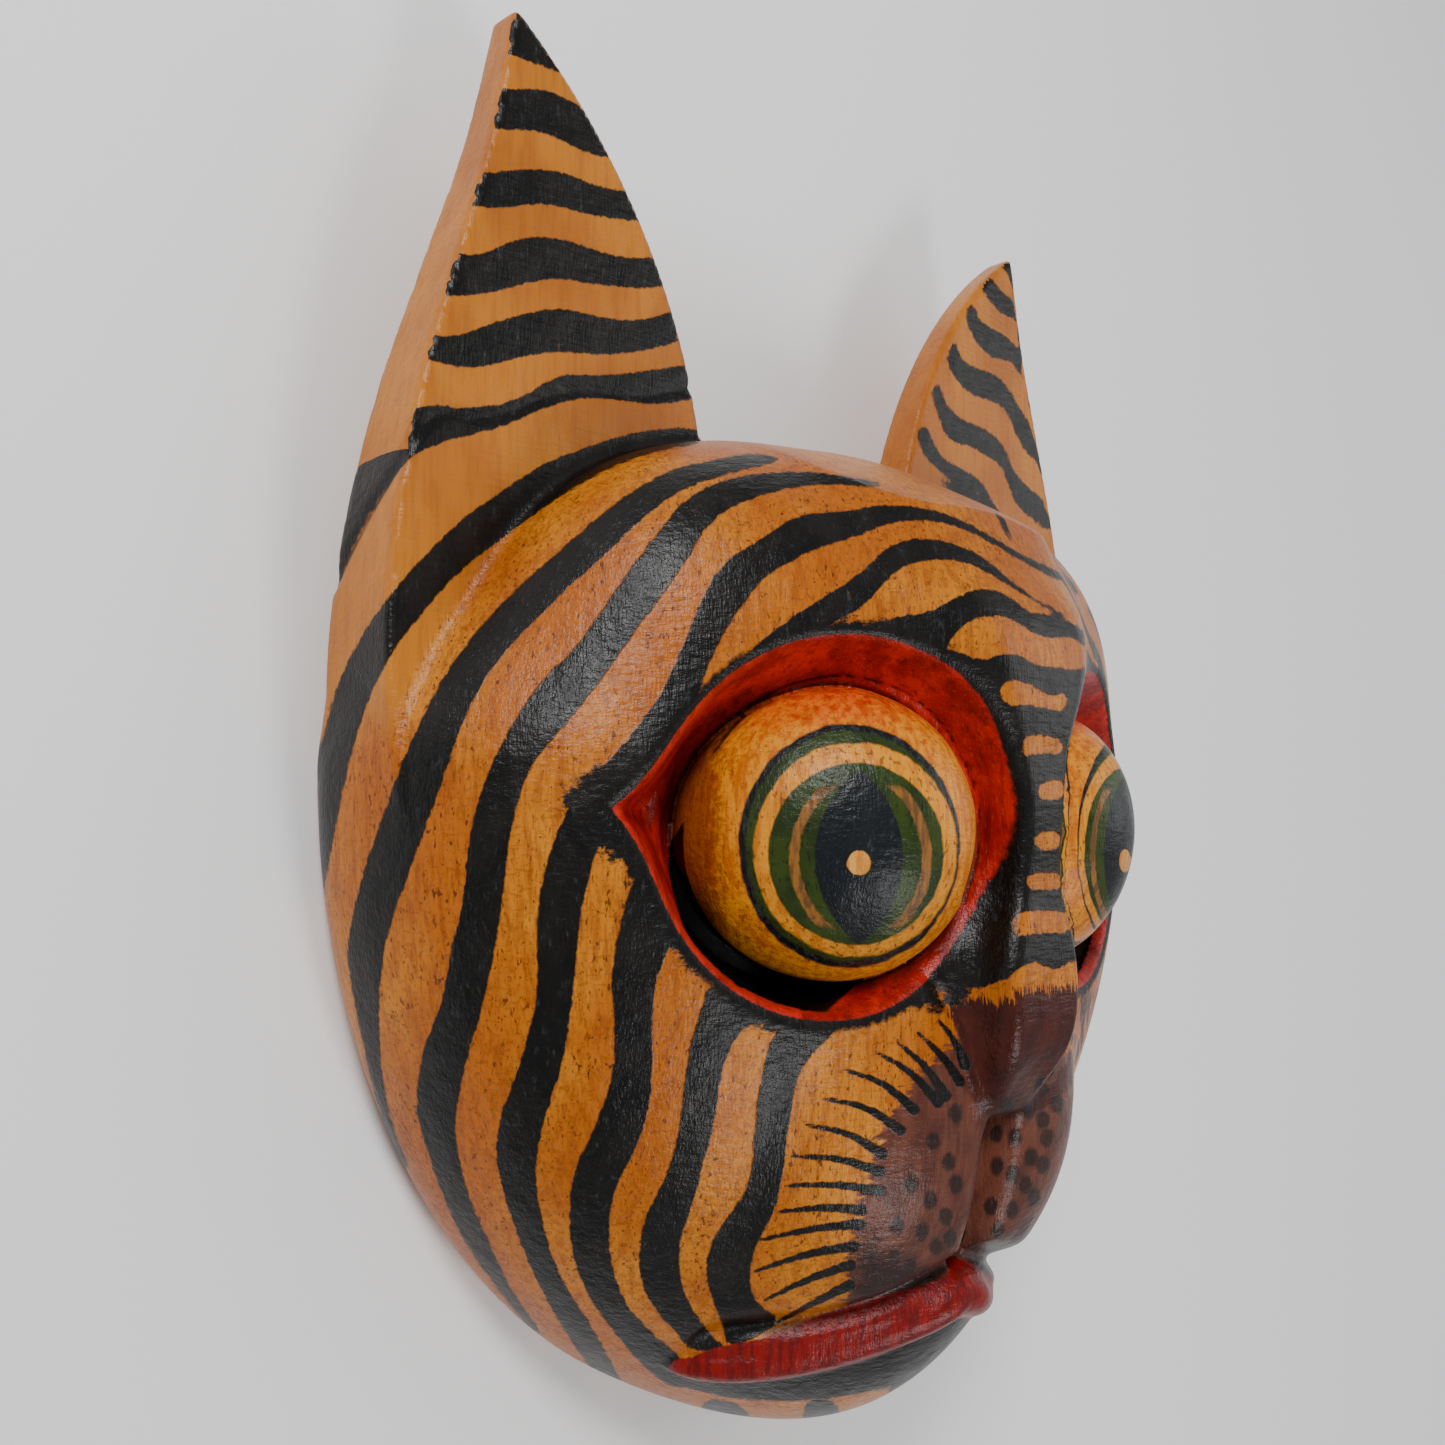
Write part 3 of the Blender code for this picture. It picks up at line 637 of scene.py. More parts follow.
FAR_EAR_STRIPES = (
    ((998, 258), (1012, 254), (1022, 290), (1008, 275), (1001, 266)),
    ((980, 285), (984, 277), (990, 276), (997, 286), (1006, 296), (1022, 303), (1026, 328), (1012, 318),
     (1001, 314),
     (994, 306), (986, 296)),
    ((969, 303), (975, 307), (980, 321), (992, 328), (1006, 336), (1017, 347), (1032, 362), (1038, 400),
     (1020, 376),
     (1012, 362), (1002, 360), (990, 357), (978, 345), (970, 332), (965, 318)),
    ((953, 342), (957, 345), (960, 356), (970, 366), (985, 371), (998, 376), (1008, 388), (1018, 405),
     (1030, 425),
     (1044, 440), (1046, 470), (1025, 452), (1016, 435), (1010, 418), (1001, 405), (985, 399), (972, 395),
     (960, 385), (950, 370), (946, 356)),
    ((934, 384), (941, 386), (944, 400), (952, 412), (965, 421), (980, 426), (995, 436), (1005, 448),
     (1012, 468),
     (1025, 485), (1048, 503), (1050, 527), (1028, 516), (1016, 505), (1008, 485), (1001, 465), (985, 455),
     (970, 446), (955, 443), (945, 435), (938, 415), (931, 395)),
    ((919, 427), (928, 427), (932, 440), (940, 455), (955, 466), (968, 472), (980, 480), (990, 495),
     (1000, 512),
     (1008, 526), (1014, 545), (1004, 532), (996, 515), (986, 500), (975, 492), (960, 486), (945, 475),
     (930, 463),
     (921, 450), (917, 436)))
WHISKERS = (((938, 1020), (955, 1040), (966, 1066)), ((918, 1033), (942, 1055), (960, 1082)),
            ((897, 1042), (925, 1065), (946, 1096)), ((876, 1052), (912, 1072), (938, 1102)),
            ((845, 1070), (885, 1083), (914, 1110)), ((822, 1098), (868, 1107), (900, 1130)),
            ((806, 1125), (850, 1133), (882, 1154)), ((792, 1156), (840, 1158), (880, 1172)),
            ((785, 1186), (835, 1184), (880, 1191)), ((778, 1212), (825, 1207), (862, 1210)),
            ((760, 1240), (815, 1228), (860, 1224)), ((754, 1272), (805, 1254), (855, 1246)),
            ((765, 1300), (810, 1278), (851, 1265)), ((778, 1322), (815, 1302), (850, 1285)))
DOTS = ((956, 1113), (933, 1141), (949, 1162), (911, 1184), (956, 1184), (930, 1200), (946, 1217),
        (897, 1226),
        (922, 1232), (936, 1247), (950, 1238), (893, 1257), (910, 1266), (926, 1275), (1007, 1107),
        (1028, 1110),
        (1057, 1104), (1042, 1086), (1043, 1120), (996, 1133), (1015, 1137), (1047, 1138), (997, 1166),
        (1013, 1174),
        (1031, 1157), (1043, 1165), (1025, 1185), (991, 1206), (1012, 1210), (1034, 1197), (998, 1230))
DOT_WIDTH = 14
DOT_STRETCH = 1.35
NOSE_PAINT = ((948, 1002), (972, 1000), (1000, 1001), (1018, 993), (1036, 987), (1060, 989), (1085, 984),
              (1100, 1010), (1090, 1050), (1070, 1090), (1040, 1112), (1005, 1120), (978, 1114), (969, 1085),
              (963, 1050), (955, 1024))
MUZZLE_PAINT = ((950, 1040), (930, 1062), (905, 1088), (890, 1120), (872, 1155), (866, 1180), (860, 1205),
                (852, 1240), (848, 1290), (850, 1335), (900, 1325), (950, 1305), (975, 1280), (1000, 1285),
                (1030, 1275), (1070, 1200), (1100, 1120), (1112, 1060), (1100, 1035), (1085, 1015),
                (1050, 1030),
                (1000, 1040), (975, 1050))
MUZZLE_SHADE = ((860, 1235), (900, 1262), (950, 1270), (972, 1245), (1000, 1240), (1040, 1215), (1075, 1230),
                (1000, 1300), (950, 1320), (860, 1345), (780, 1352), (760, 1330), (800, 1325), (850, 1310))
SMEARS = (((560, 800), (585, 770), (625, 755), (660, 745), (650, 790), (625, 815), (650, 860), (690, 925),
           (720, 965), (700, 985), (668, 945), (640, 900), (622, 865), (600, 850), (570, 835)),
          ((700, 965), (740, 995), (800, 1012), (860, 1002), (925, 975), (948, 1000), (945, 1012),
           (925, 1008),
           (900, 1012), (870, 1022), (840, 1030), (800, 1040), (760, 1030), (720, 1010)),
          ((925, 972), (950, 960), (985, 930), (1005, 905), (1012, 950), (1000, 975), (975, 985), (968, 1000),
           (955, 1008), (945, 1005)),
          ((720, 690), (760, 650), (820, 622), (870, 618), (920, 628), (960, 655), (1000, 705), (1020, 760),
           (1000, 770), (960, 690), (880, 640), (800, 650), (740, 700)))
LIP_PAINT = ((686, 1362), (700, 1352), (727, 1345), (771, 1337), (816, 1316), (868, 1299), (919, 1286),
             (944, 1278),
             (954, 1264), (967, 1259), (986, 1280), (988, 1305), (944, 1322), (906, 1341), (868, 1357),
             (816, 1370),
             (765, 1380), (714, 1380), (690, 1370))
CHIN_BAND = ((660, 1352), (684, 1362), (714, 1376), (765, 1376), (816, 1366), (868, 1353), (906, 1337),
             (944, 1318),
             (988, 1300), (1010, 1330), (960, 1360), (900, 1385), (850, 1396), (800, 1402), (740, 1400),
             (700, 1392), (668, 1382))
CHIN_BARS = (((700, 1396), (745, 1404), (760, 1440), (700, 1435)), ((800, 1400), (838, 1398), (846, 1440),
             (808, 1440)),
             ((880, 1388), (925, 1370), (950, 1410), (900, 1430)))
EAR_GROOVE = ((332, 589), (345, 560), (370, 510), (396, 468), (420, 425), (452, 408), (480, 419), (510, 412),
              (550, 394), (590, 389), (640, 397), (690, 388))
CHEEK_CREASE = ((925, 972), (945, 1000), (958, 1030), (962, 1060), (974, 1095))
LID_CREASE = ((712, 752), (735, 720), (760, 700), (790, 685), (840, 675), (870, 680), (900, 690), (930, 710),
              (950, 735), (968, 770), (978, 800), (980, 830), (977, 860), (965, 900))


def nearest_of(shapes):
    result = shapes[0]
    for shape in shapes[1:]:
        result = np.minimum(result, shape)
    return result


def paint(u, v):
    """Signed distances in pixels to each colour's outlines."""
    black = nearest_of([patch(u, v, upper + lower[::-1]) for upper, lower in BANDS])
    black = np.minimum(black, patch(u, v, BETWEEN_EYES, 1))
    bars = nearest_of([patch(u, v, bar, 1) for bar in BARS])
    black = np.maximum(black, -bars)
    black = np.minimum(black, nearest_of([patch(u, v, stripe, 1) for stripe in FAR_EAR_STRIPES]))
    black = np.minimum(black, patch(u, v, CHIN_BAND))
    black = np.minimum(black, nearest_of([patch(u, v, bar) for bar in CHIN_BARS]))
    fine = nearest_of([stroke(u, v, line, 12, 0.8) for line in WHISKERS])
    fine = np.minimum(fine, FAR_OFF)
    dots = nearest_of([np.hypot(u - du, (v - dv) / DOT_STRETCH) - DOT_WIDTH / 2 for du, dv in DOTS])
    return {"black": black, "fine": fine, "dots": np.minimum(dots, FAR_OFF),
            "nose_paint": patch(u, v, NOSE_PAINT),
            "lip_paint": patch(u, v, LIP_PAINT, 1), "below_bars": np.clip(v - 1000, -FAR_OFF, FAR_OFF),
            "smears": nearest_of([patch(u, v, smear) for smear in SMEARS]), "shade": patch(u, v, MUZZLE_SHADE),
            "muzzle_paint": patch(u, v, MUZZLE_PAINT), "ear_groove": stroke(u, v, EAR_GROOVE, 0),
            "crease": stroke(u, v, LID_CREASE, 0), "cheek_crease": stroke(u, v, CHEEK_CREASE, 0)}


# Eyes: iris and pupil in pixels of the near eye, their middle at the yellow dot.
IRIS_MIDDLE = (857.0, 860.0)
FAR_IRIS_MIDDLE = (1126.0, 858.0)
FAR_IRIS_SCALE = (2.1, 1.07)
FAR_IRIS_SHIFT = 73.0
# Where on the ears the bands begin to run round onto the narrow sides.
EAR_PLAIN_ABOVE = 0.33
EAR_SKIN = 0.0005
CLEAR_OF_HEAD = 0.002
EAR_SIDE_FACING = 0.6
UNPAINTED = FAR_OFF / 4
# The share of the hollow's faces that is left out, where the camera never looks.
HOLLOW_THINNING = 0.8
# Pixels round the whiskers and dots, where the mesh is cut finer: left, right, top, bottom.
NEAR_MUZZLE_BOX = (750, 1100, 975, 1335)
# The same on the far side: left, top, bottom.
FAR_MUZZLE_BOX = (970, 975, 1250)
# Pressed lines: depth in metres, reach in pixels.
EAR_GROOVE_DEPTH = 0.0007
EAR_GROOVE_REACH = 4.5
CREASE_DEPTH = 0.0005
CHEEK_CREASE_REACH = 5.0
LID_CREASE_REACH = 4.0


def painted_wood_mesh():
    points, quads = wood_mesh()
    points = settle(points)
    points, faces = thin_hollow(points, quads, HOLLOW_THINNING)
    middle = points[faces].mean(axis=1)
    u, v, _ = pixels(middle)
    mu, mv, _ = pixels(middle * np.where(middle[:, :1] > 0, (-1, 1, 1), 1))
    x, y, z = np.abs(middle[:, 0]), middle[:, 1], middle[:, 2]
    left, right, top, bottom = NEAR_MUZZLE_BOX
    zone = (mu > left) & (mu < right) & (mv > top) & (mv < bottom)
    left, top, bottom = FAR_MUZZLE_BOX
    zone |= (middle[:, 0] > 0) & (u > left) & (v > top) & (v < bottom)
    zone |= (np.abs(ball(x, y, z)) < 0.002) & (np.abs(socket(x, y, z)) < 0.004)
    zone &= (z > HEAD_DEPTH * 0.45) & (hollow(x, y, z) > 0.004)
    mesh = refine(points, faces, zone)
    points, faces = coordinates(mesh), corners(mesh)
    points = settle(points, 2)
    _, normals = slope_of(points)

    near = points * np.where(points[:, :1] > 0, (-1, 1, 1), 1)
    u, v, _ = pixels(points)
    mu, mv, _ = pixels(near)
    seen = np.where(points[:, 0] <= 0, 1.0, in_sight(points, faces, normals))
    direct, mirror = paint(u, v), paint(mu, mv)
    colours = {name: direct[name] * seen + mirror[name] * (1 - seen) for name in direct}
    x, y, z = near[:, 0] * -1, near[:, 1], near[:, 2]
    plain_side = (ear(x, y, z) < EAR_SKIN) & (head(x, y, z) > CLEAR_OF_HEAD)
    plain_side = plain_side & (normals[:, 2] < EAR_SIDE_FACING) & (y > EAR_PLAIN_ABOVE * HEAD_HEIGHT)
    colours["black"] = np.where(plain_side, UNPAINTED, colours["black"])
    ball_off, socket_off = ball(x, y, z), socket(x, y, z)
    colours["ball"] = ball_off * 1000
    colours["socket"] = socket_off * 1000
    colours["slit"] = slit(x, y, z) * 1000
    colours["lip"] = lip(x, y, z) * 1000
    colours["hollow"] = hollow(x, y, z) * 1000
    colours["ear"] = ear(x, y, z) * 1000
    colours["back"] = -normals[:, 2]
    far = points[:, 0] > 0
    across, over = mu - IRIS_MIDDLE[0] - FAR_IRIS_SHIFT * far, mv - IRIS_MIDDLE[1]
    far_across = (FAR_IRIS_MIDDLE[0] - u) * FAR_IRIS_SCALE[0]
    far_over = (v - FAR_IRIS_MIDDLE[1]) * FAR_IRIS_SCALE[1]
    colours["iris_u"] = np.where(far, seen * far_across + (1 - seen) * across, across)
    colours["iris_v"] = np.where(far, seen * far_over + (1 - seen) * over, over)

    # Cut lines finer than the solid carries.
    outer = hollow(x, y, z) > 0.004
    press = EAR_GROOVE_DEPTH * np.exp(-((colours["ear_groove"] / EAR_GROOVE_REACH) ** 2))
    press += CREASE_DEPTH * np.exp(-((colours["cheek_crease"] / CHEEK_CREASE_REACH) ** 2))
    lid = (ball_off < 0.003) & (socket_off < 0.004)
    press += np.where(lid, CREASE_DEPTH * np.exp(-((colours["crease"] / LID_CREASE_REACH) ** 2)), 0)
    points -= normals * (press * outer)[:, None]
    points[:, 2] = np.maximum(points[:, 2], 0)

    points[:, 1] -= FRAME_SHIFT
    low, high = (np.array(corner) for corner in SOLID_BOX)
    points = np.clip(points, low, high)
    mesh.vertices.foreach_set("co", points.astype(np.float32).ravel())
    for name, values in colours.items():
        layer = mesh.attributes.new(name, "FLOAT", "POINT")
        layer.data.foreach_set("value", values.astype(np.float32))
    mesh.shade_smooth()
    mesh.set_sharp_from_angle(angle=math.radians(50))
    mesh.update()
    return mesh


# Material.
class Paint:
    """Short names for the shader nodes that the painted wood is made of."""

    def __init__(self, tree):
        self.tree = tree
        self.place = tree.nodes.new("ShaderNodeNewGeometry").outputs["Position"]

    def put(self, socket, value):
        if isinstance(value, bpy.types.NodeSocket):
            self.tree.links.new(value, socket)
        elif socket.type == "RGBA":
            socket.default_value = (*[(c / 255) ** 2.2 for c in value], 1) if max(value) > 1.5 else (*value, 1)
        else:
            socket.default_value = value

    def calc(self, kind, a, b=0.0, c=0.0, clamp=False):
        node = self.tree.nodes.new("ShaderNodeMath")
        node.operation = kind
        node.use_clamp = clamp
        for socket, value in zip(node.inputs, (a, b, c)):
            self.put(socket, value)
        return node.outputs[0]

    def field(self, name):
        node = self.tree.nodes.new("ShaderNodeAttribute")
        node.attribute_name = name
        return node.outputs["Fac"]

    def below(self, value, edge, soft):
        """1 where value is under the edge, 0 above it."""
        node = self.tree.nodes.new("ShaderNodeMapRange")
        node.interpolation_type = "SMOOTHSTEP"
        self.put(node.inputs["Value"], value)
        self.put(node.inputs["From Min"], edge - soft if not isinstance(edge, bpy.types.NodeSocket) else edge)
        self.put(node.inputs["From Max"], edge + soft)
        node.inputs["To Min"].default_value = 1
        node.inputs["To Max"].default_value = 0
        return node.outputs["Result"]

    def noise(self, size, stretch=(1, 1, 1), detail=2.0, rough=0.55, warp=0.0):
        """Noise from 0 to 1 with spots of the given size in metres, drawn out along each axis."""
        scaled = self.tree.nodes.new("ShaderNodeMapping")
        scaled.inputs["Scale"].default_value = [1 / (size * s) for s in stretch]
        self.put(scaled.inputs["Vector"], self.place)
        node = self.tree.nodes.new("ShaderNodeTexNoise")
        node.inputs["Scale"].default_value = 1.0
        node.inputs["Detail"].default_value = detail
        node.inputs["Roughness"].default_value = rough
        node.inputs["Distortion"].default_value = warp
        self.put(node.inputs["Vector"], scaled.outputs[0])
        return node.outputs["Fac"]

    def mix(self, share, a, b):
        node = self.tree.nodes.new("ShaderNodeMix")
        node.data_type = "RGBA"
        self.put(node.inputs[0], share)
        self.put(node.inputs[6], a)
        self.put(node.inputs[7], b)
        return node.outputs[2]

    def blend(self, share, a, b):
        return self.calc("ADD", a, self.calc("MULTIPLY", share, self.calc("SUBTRACT", b, a)))

    def away(self, u, v, middle, half):
        """Distance from an ellipse's middle in shares of its half axes."""
        du = self.calc("DIVIDE", self.calc("SUBTRACT", u, middle[0]), half[0])
        dv = self.calc("DIVIDE", self.calc("SUBTRACT", v, middle[1]), half[1])
        return self.calc("SQRT", self.calc("ADD", self.calc("POWER", du, 2), self.calc("POWER", dv, 2)))


def painted_wood():
    look = bpy.data.materials.new("painted_wood")
    look.use_nodes = True
    tree = look.node_tree
    shader = tree.nodes["Principled BSDF"]
    p = Paint(tree)

    # Grain runs up the mask; fine brush and tool marks break every edge.
    broad = p.noise(0.030, (1, 1.6, 1), 3)
    streaks = p.noise(0.0016, (1, 9, 1), 3, 0.6)
    fibre = p.noise(0.0005, (1, 6, 1), 2, 0.6)
    patchy = p.noise(0.007, (1, 1.5, 1), 3)
    specks = p.noise(0.0008, (1, 2.2, 1), 1, 0.5)
    rough_edge = p.calc("SUBTRACT", p.noise(0.0016, (1, 1.4, 1), 3, 0.65), 0.5)

    wood = p.mix(p.below(broad, 0.52, 0.14), (198, 122, 26), (172, 92, 10))
    wood = p.mix(p.calc("MULTIPLY", p.below(streaks, 0.46, 0.12), 0.55), wood, (138, 66, 6))
    wood = p.mix(p.calc("MULTIPLY", p.below(fibre, 0.42, 0.10), 0.4), wood, (104, 48, 6))
    dots = p.calc("MULTIPLY", p.below(specks, 0.33, 0.04), p.below(patchy, 0.56, 0.10))
    wood = p.mix(p.calc("MULTIPLY", dots, 0.8), wood, (70, 28, 5))
    hatch = p.noise(0.0006, (5.5, 1.2, 3), 2, 0.6, 0.6)
    wood = p.mix(p.calc("MULTIPLY", p.below(hatch, 0.38, 0.06), 0.45), wood, (120, 60, 8))
    pores = p.noise(0.00055, (1, 1.6, 1), 1, 0.5)
    wood = p.mix(p.calc("MULTIPLY", p.below(pores, 0.27, 0.03), 0.75), wood, (64, 28, 6))

    ear_face = p.mix(p.below(broad, 0.5, 0.15), (186, 114, 34), (164, 92, 24))
    ear_face = p.mix(p.calc("MULTIPLY", p.below(streaks, 0.45, 0.12), 0.3), ear_face, (134, 68, 16))
    ear_here = p.below(p.field("ear"), 0.25, 0.2)
    wood = p.mix(ear_here, wood, ear_face)

    # Muzzle and nose: dusty brown over the wood, with a feathered edge.
    brown = p.mix(p.below(patchy, 0.5, 0.15), (100, 54, 40), (76, 38, 28))
    brown = p.mix(p.calc("MULTIPLY", p.below(streaks, 0.44, 0.1), 0.3), brown, (112, 74, 58))
    feather = p.calc("MULTIPLY", p.calc("SUBTRACT", p.noise(0.0012, (3, 1, 3), 2, 0.6), 0.5), 46)
    on_muzzle = p.below(p.calc("ADD", p.field("muzzle_paint"), feather), 0.0, 4.0)
    tint = p.mix(on_muzzle, wood, brown)
    nose_brown = p.mix(p.below(patchy, 0.5, 0.2), (74, 30, 20), (50, 16, 9))
    tufts = p.calc("MULTIPLY", p.calc("SUBTRACT", p.noise(0.0007, (1, 7, 1), 2, 0.6), 0.5), 44)
    tufts = p.calc("MULTIPLY", tufts, p.below(p.field("below_bars"), 22.0, 12.0))
    on_nose = p.below(p.calc("ADD", p.field("nose_paint"), tufts), 0.0, 2.5)
    tint = p.mix(on_nose, tint, nose_brown)

    # Black stripes, with patches of bluish grey painted sheen in the black, and thinner where the brush ran
    # dry.
    worn_and_sheen = p.noise(0.0011, (1, 4, 1), 3, 0.7)
    black = p.mix(p.below(patchy, 0.46, 0.12), (12, 9, 7), (24, 21, 19))
    black = p.mix(p.calc("MULTIPLY", p.below(worn_and_sheen, 0.36, 0.07), 0.4), black, (58, 62, 64))
    edge = p.calc("MULTIPLY", rough_edge, 6)
    stripes = p.below(p.calc("ADD", p.field("black"), edge), 0.0, 1.2)
    away_socket = p.calc("ADD", p.field("socket"), p.calc("MULTIPLY", rough_edge, 2.4))
    around = p.calc("MULTIPLY", p.below(away_socket, 2.3, 0.6), p.below(p.field("back"), 0.2, 0.1))
    dry = p.calc("SUBTRACT", p.noise(0.0013, (2.2, 1, 1), 4, 0.7), 0.5)
    smears = p.below(p.calc("ADD", p.field("smears"), p.calc("MULTIPLY", dry, 42)), 0.0, 5.0)
    shade = p.below(p.calc("ADD", p.field("shade"), p.calc("MULTIPLY", dry, 40)), 0.0, 16.0)
    fine = p.below(p.calc("ADD", p.field("fine"), p.calc("MULTIPLY", rough_edge, 4)), 0.0, 1.0)
    spots = p.below(p.calc("ADD", p.field("dots"), p.calc("MULTIPLY", rough_edge, 5)), 0.0, 2.0)
    front = p.below(p.field("back"), 0.55, 0.15)
    dark = p.calc("MAXIMUM", p.calc("MAXIMUM", stripes, around), p.calc("MAXIMUM", fine, smears))
    dark = p.calc("MAXIMUM", dark, p.calc("MULTIPLY", shade, 0.85))
    dark = p.calc("MAXIMUM", dark, p.calc("MULTIPLY", spots, 0.8))
    thin = p.calc("SUBTRACT", 1.0, p.calc("MULTIPLY", p.below(worn_and_sheen, 0.26, 0.05), 0.3))
    dark = p.calc("MULTIPLY", p.calc("MULTIPLY", dark, thin), front)
    # Painted shade: the ear's carved groove is darkened to near black along its line.
    groove_shade = p.below(p.calc("ABSOLUTE", p.field("ear_groove")), 1.6, 1.2)
    tint = p.mix(dark, tint, black)
    tint = p.mix(p.calc("MULTIPLY", groove_shade, 0.85), tint, (6, 5, 4))

    # Red sockets and lip.
    red = p.mix(p.below(patchy, 0.5, 0.16), (186, 34, 20), (134, 14, 7))
    red = p.mix(p.calc("MULTIPLY", p.below(streaks, 0.42, 0.1), 0.5), red, (72, 5, 3))
    red = p.mix(p.calc("MULTIPLY", p.below(fibre, 0.36, 0.08), 0.3), red, (208, 80, 54))
    in_socket = p.below(p.calc("ADD", p.field("socket"), p.calc("MULTIPLY", rough_edge, 0.5)), 0.7, 0.15)
    tint = p.mix(in_socket, tint, red)
    on_lip = p.below(p.calc("ADD", p.field("lip"), p.calc("MULTIPLY", rough_edge, 0.6)), 0.45, 0.15)
    on_lip = p.calc("MAXIMUM", on_lip, p.below(p.field("lip_paint"), 0.0, 1.5))
    tint = p.mix(on_lip, tint, p.mix(p.below(streaks, 0.5, 0.1), (126, 15, 9), (96, 8, 5)))

    # Eyeball: gold, orange at its top, with painted shade in dark red-brown on its outer flank, then the rings
    # of the iris and the pupil.
    u, v = p.field("iris_u"), p.field("iris_v")
    wander = p.calc("MULTIPLY", p.calc("SUBTRACT", p.noise(0.006, detail=2), 0.5), 0.05)
    rim = p.calc("MULTIPLY", rough_edge, 0.025)
    gold = p.mix(p.below(streaks, 0.48, 0.12), (222, 140, 26), (192, 102, 8))
    gold = p.mix(p.calc("MULTIPLY", dots, 0.6), gold, (116, 60, 14))
    gold = p.mix(p.calc("MULTIPLY", p.below(hatch, 0.40, 0.06), 0.45), gold, (140, 66, 6))
    gold = p.mix(p.calc("MULTIPLY", p.below(pores, 0.28, 0.03), 0.7), gold, (80, 36, 8))
    orange = p.mix(p.below(streaks, 0.5, 0.12), (218, 84, 22), (178, 42, 10))
    off = p.calc("ADD", p.away(u, v, (-8, -14), (111, 122)), p.calc("ADD", wander, rim))
    high = p.calc("ADD", p.calc("ADD", v, 104), p.calc("MULTIPLY", rough_edge, 90))
    # Painted shade: the ball's outer flank turns dark red-brown.
    left = p.calc("ADD", p.calc("ADD", u, 138), p.calc("MULTIPLY", rough_edge, 60))
    outer_ball = p.mix(p.below(high, -40.0, 34.0), gold, orange)
    outer_ball = p.mix(p.calc("MULTIPLY", p.below(left, 0.0, 14.0), 0.75), outer_ball, (120, 44, 12))
    # The iris ring takes the same bluish grey painted sheen in patches.
    ring_black = p.mix(p.below(worn_and_sheen, 0.45, 0.1), (16, 18, 18), (44, 50, 52))
    green = p.mix(p.below(patchy, 0.5, 0.15), (50, 64, 18), (34, 48, 14))
    green = p.mix(p.calc("MULTIPLY", p.below(specks, 0.36, 0.05), 0.6), green, (20, 28, 10))
    yellow = p.mix(p.below(streaks, 0.47, 0.1), (214, 138, 32), (188, 108, 16))
    yellow = p.mix(p.calc("MULTIPLY", p.below(specks, 0.36, 0.04), 0.7), yellow, (96, 56, 20))
    eye = p.mix(p.below(off, 1.0, 0.012), outer_ball, ring_black)
    eye = p.mix(p.below(p.calc("ADD", off, p.calc("MULTIPLY", rim, 0.5)), 0.94, 0.012), eye, green)
    ring = p.calc("ADD", p.away(u, v, (-2, -10), (102, 107)), p.calc("ADD", wander, rim))
    eye = p.mix(p.below(ring, 1.0, 0.015), eye, yellow)
    disc = p.calc("ADD", p.away(u, v, (-1, -6), (88, 91)), p.calc("ADD", wander, rim))
    eye = p.mix(p.below(disc, 1.0, 0.015), eye, green)
    bow_left = p.calc("ABSOLUTE", p.calc("SUBTRACT", p.away(u, v, (28, -2), (1, 1)), 91))
    bow_right = p.calc("ABSOLUTE", p.calc("SUBTRACT", p.away(u, v, (-24, -3), (1, 1)), 94))
    tall = p.below(p.calc("ABSOLUTE", p.calc("ADD", v, 3)), 70.0, 4.0)
    on_left = p.calc("LESS_THAN", u, 0.0)
    bow = p.calc("ADD", p.calc("MULTIPLY", on_left, bow_left),
                 p.calc("MULTIPLY", p.calc("SUBTRACT", 1.0, on_left), bow_right))
    bow = p.calc("MULTIPLY", p.below(p.calc("ADD", bow, p.calc("MULTIPLY", rough_edge, 6)), 5.0, 1.2), tall)
    eye = p.mix(bow, eye, p.mix(p.below(streaks, 0.5, 0.1), (140, 92, 40), (96, 66, 38)))
    almond = p.calc("MAXIMUM", p.away(u, v, (67, -3), (109, 109)), p.away(u, v, (-63, -3), (109, 109)))
    # Pupil: near black with patches of bluish grey painted sheen.
    pupil = p.mix(p.below(worn_and_sheen, 0.34, 0.1), (20, 24, 28), (50, 55, 56))
    eye = p.mix(p.below(p.calc("ADD", almond, rim), 1.0, 0.012), eye, pupil)
    spot = p.calc("ADD", p.away(u, v, (2, 3), (12, 12)), p.calc("MULTIPLY", rough_edge, 0.3))
    eye = p.mix(p.below(spot, 1.0, 0.08),
                eye, p.mix(p.below(streaks, 0.5, 0.1), (220, 158, 74), (196, 122, 42)))
    on_ball = p.below(p.field("ball"), 0.35, 0.1)
    tint = p.mix(on_ball, tint, eye)
    # Painted shade: a dark line in the crease where the ball meets the socket.
    ball_crease_shade = p.calc("MULTIPLY", p.below(p.calc("ABSOLUTE", p.field("ball")), 1.1, 0.5), in_socket)
    ball_crease_shade = p.calc("MULTIPLY", ball_crease_shade, p.calc("SUBTRACT", 1.0, on_ball))
    tint = p.mix(p.calc("MULTIPLY", ball_crease_shade, 0.8), tint, (26, 8, 5))
    # Painted shade: a dark line along the lid's crease above the ball.
    lid = p.calc("MULTIPLY", p.below(p.calc("ABSOLUTE", p.field("crease")), 1.6, 1.0), in_socket)
    tint = p.mix(p.calc("MULTIPLY", lid, 0.8), tint, (34, 12, 8))

    # Bare wood behind.
    bare = p.mix(p.below(streaks, 0.5, 0.15), (140, 98, 58), (104, 68, 38))
    bare = p.mix(p.calc("MULTIPLY", p.below(fibre, 0.42, 0.1), 0.5), bare, (70, 44, 24))
    behind = p.below(p.field("hollow"), 3.0, 0.5)
    tint = p.mix(behind, tint, bare)
    # Painted shade: the slit's walls are near black.
    slit_shade = p.below(p.field("slit"), 0.5, 0.15)
    tint = p.mix(slit_shade, tint, (14, 10, 8))
    p.put(shader.inputs["Base Color"], tint)

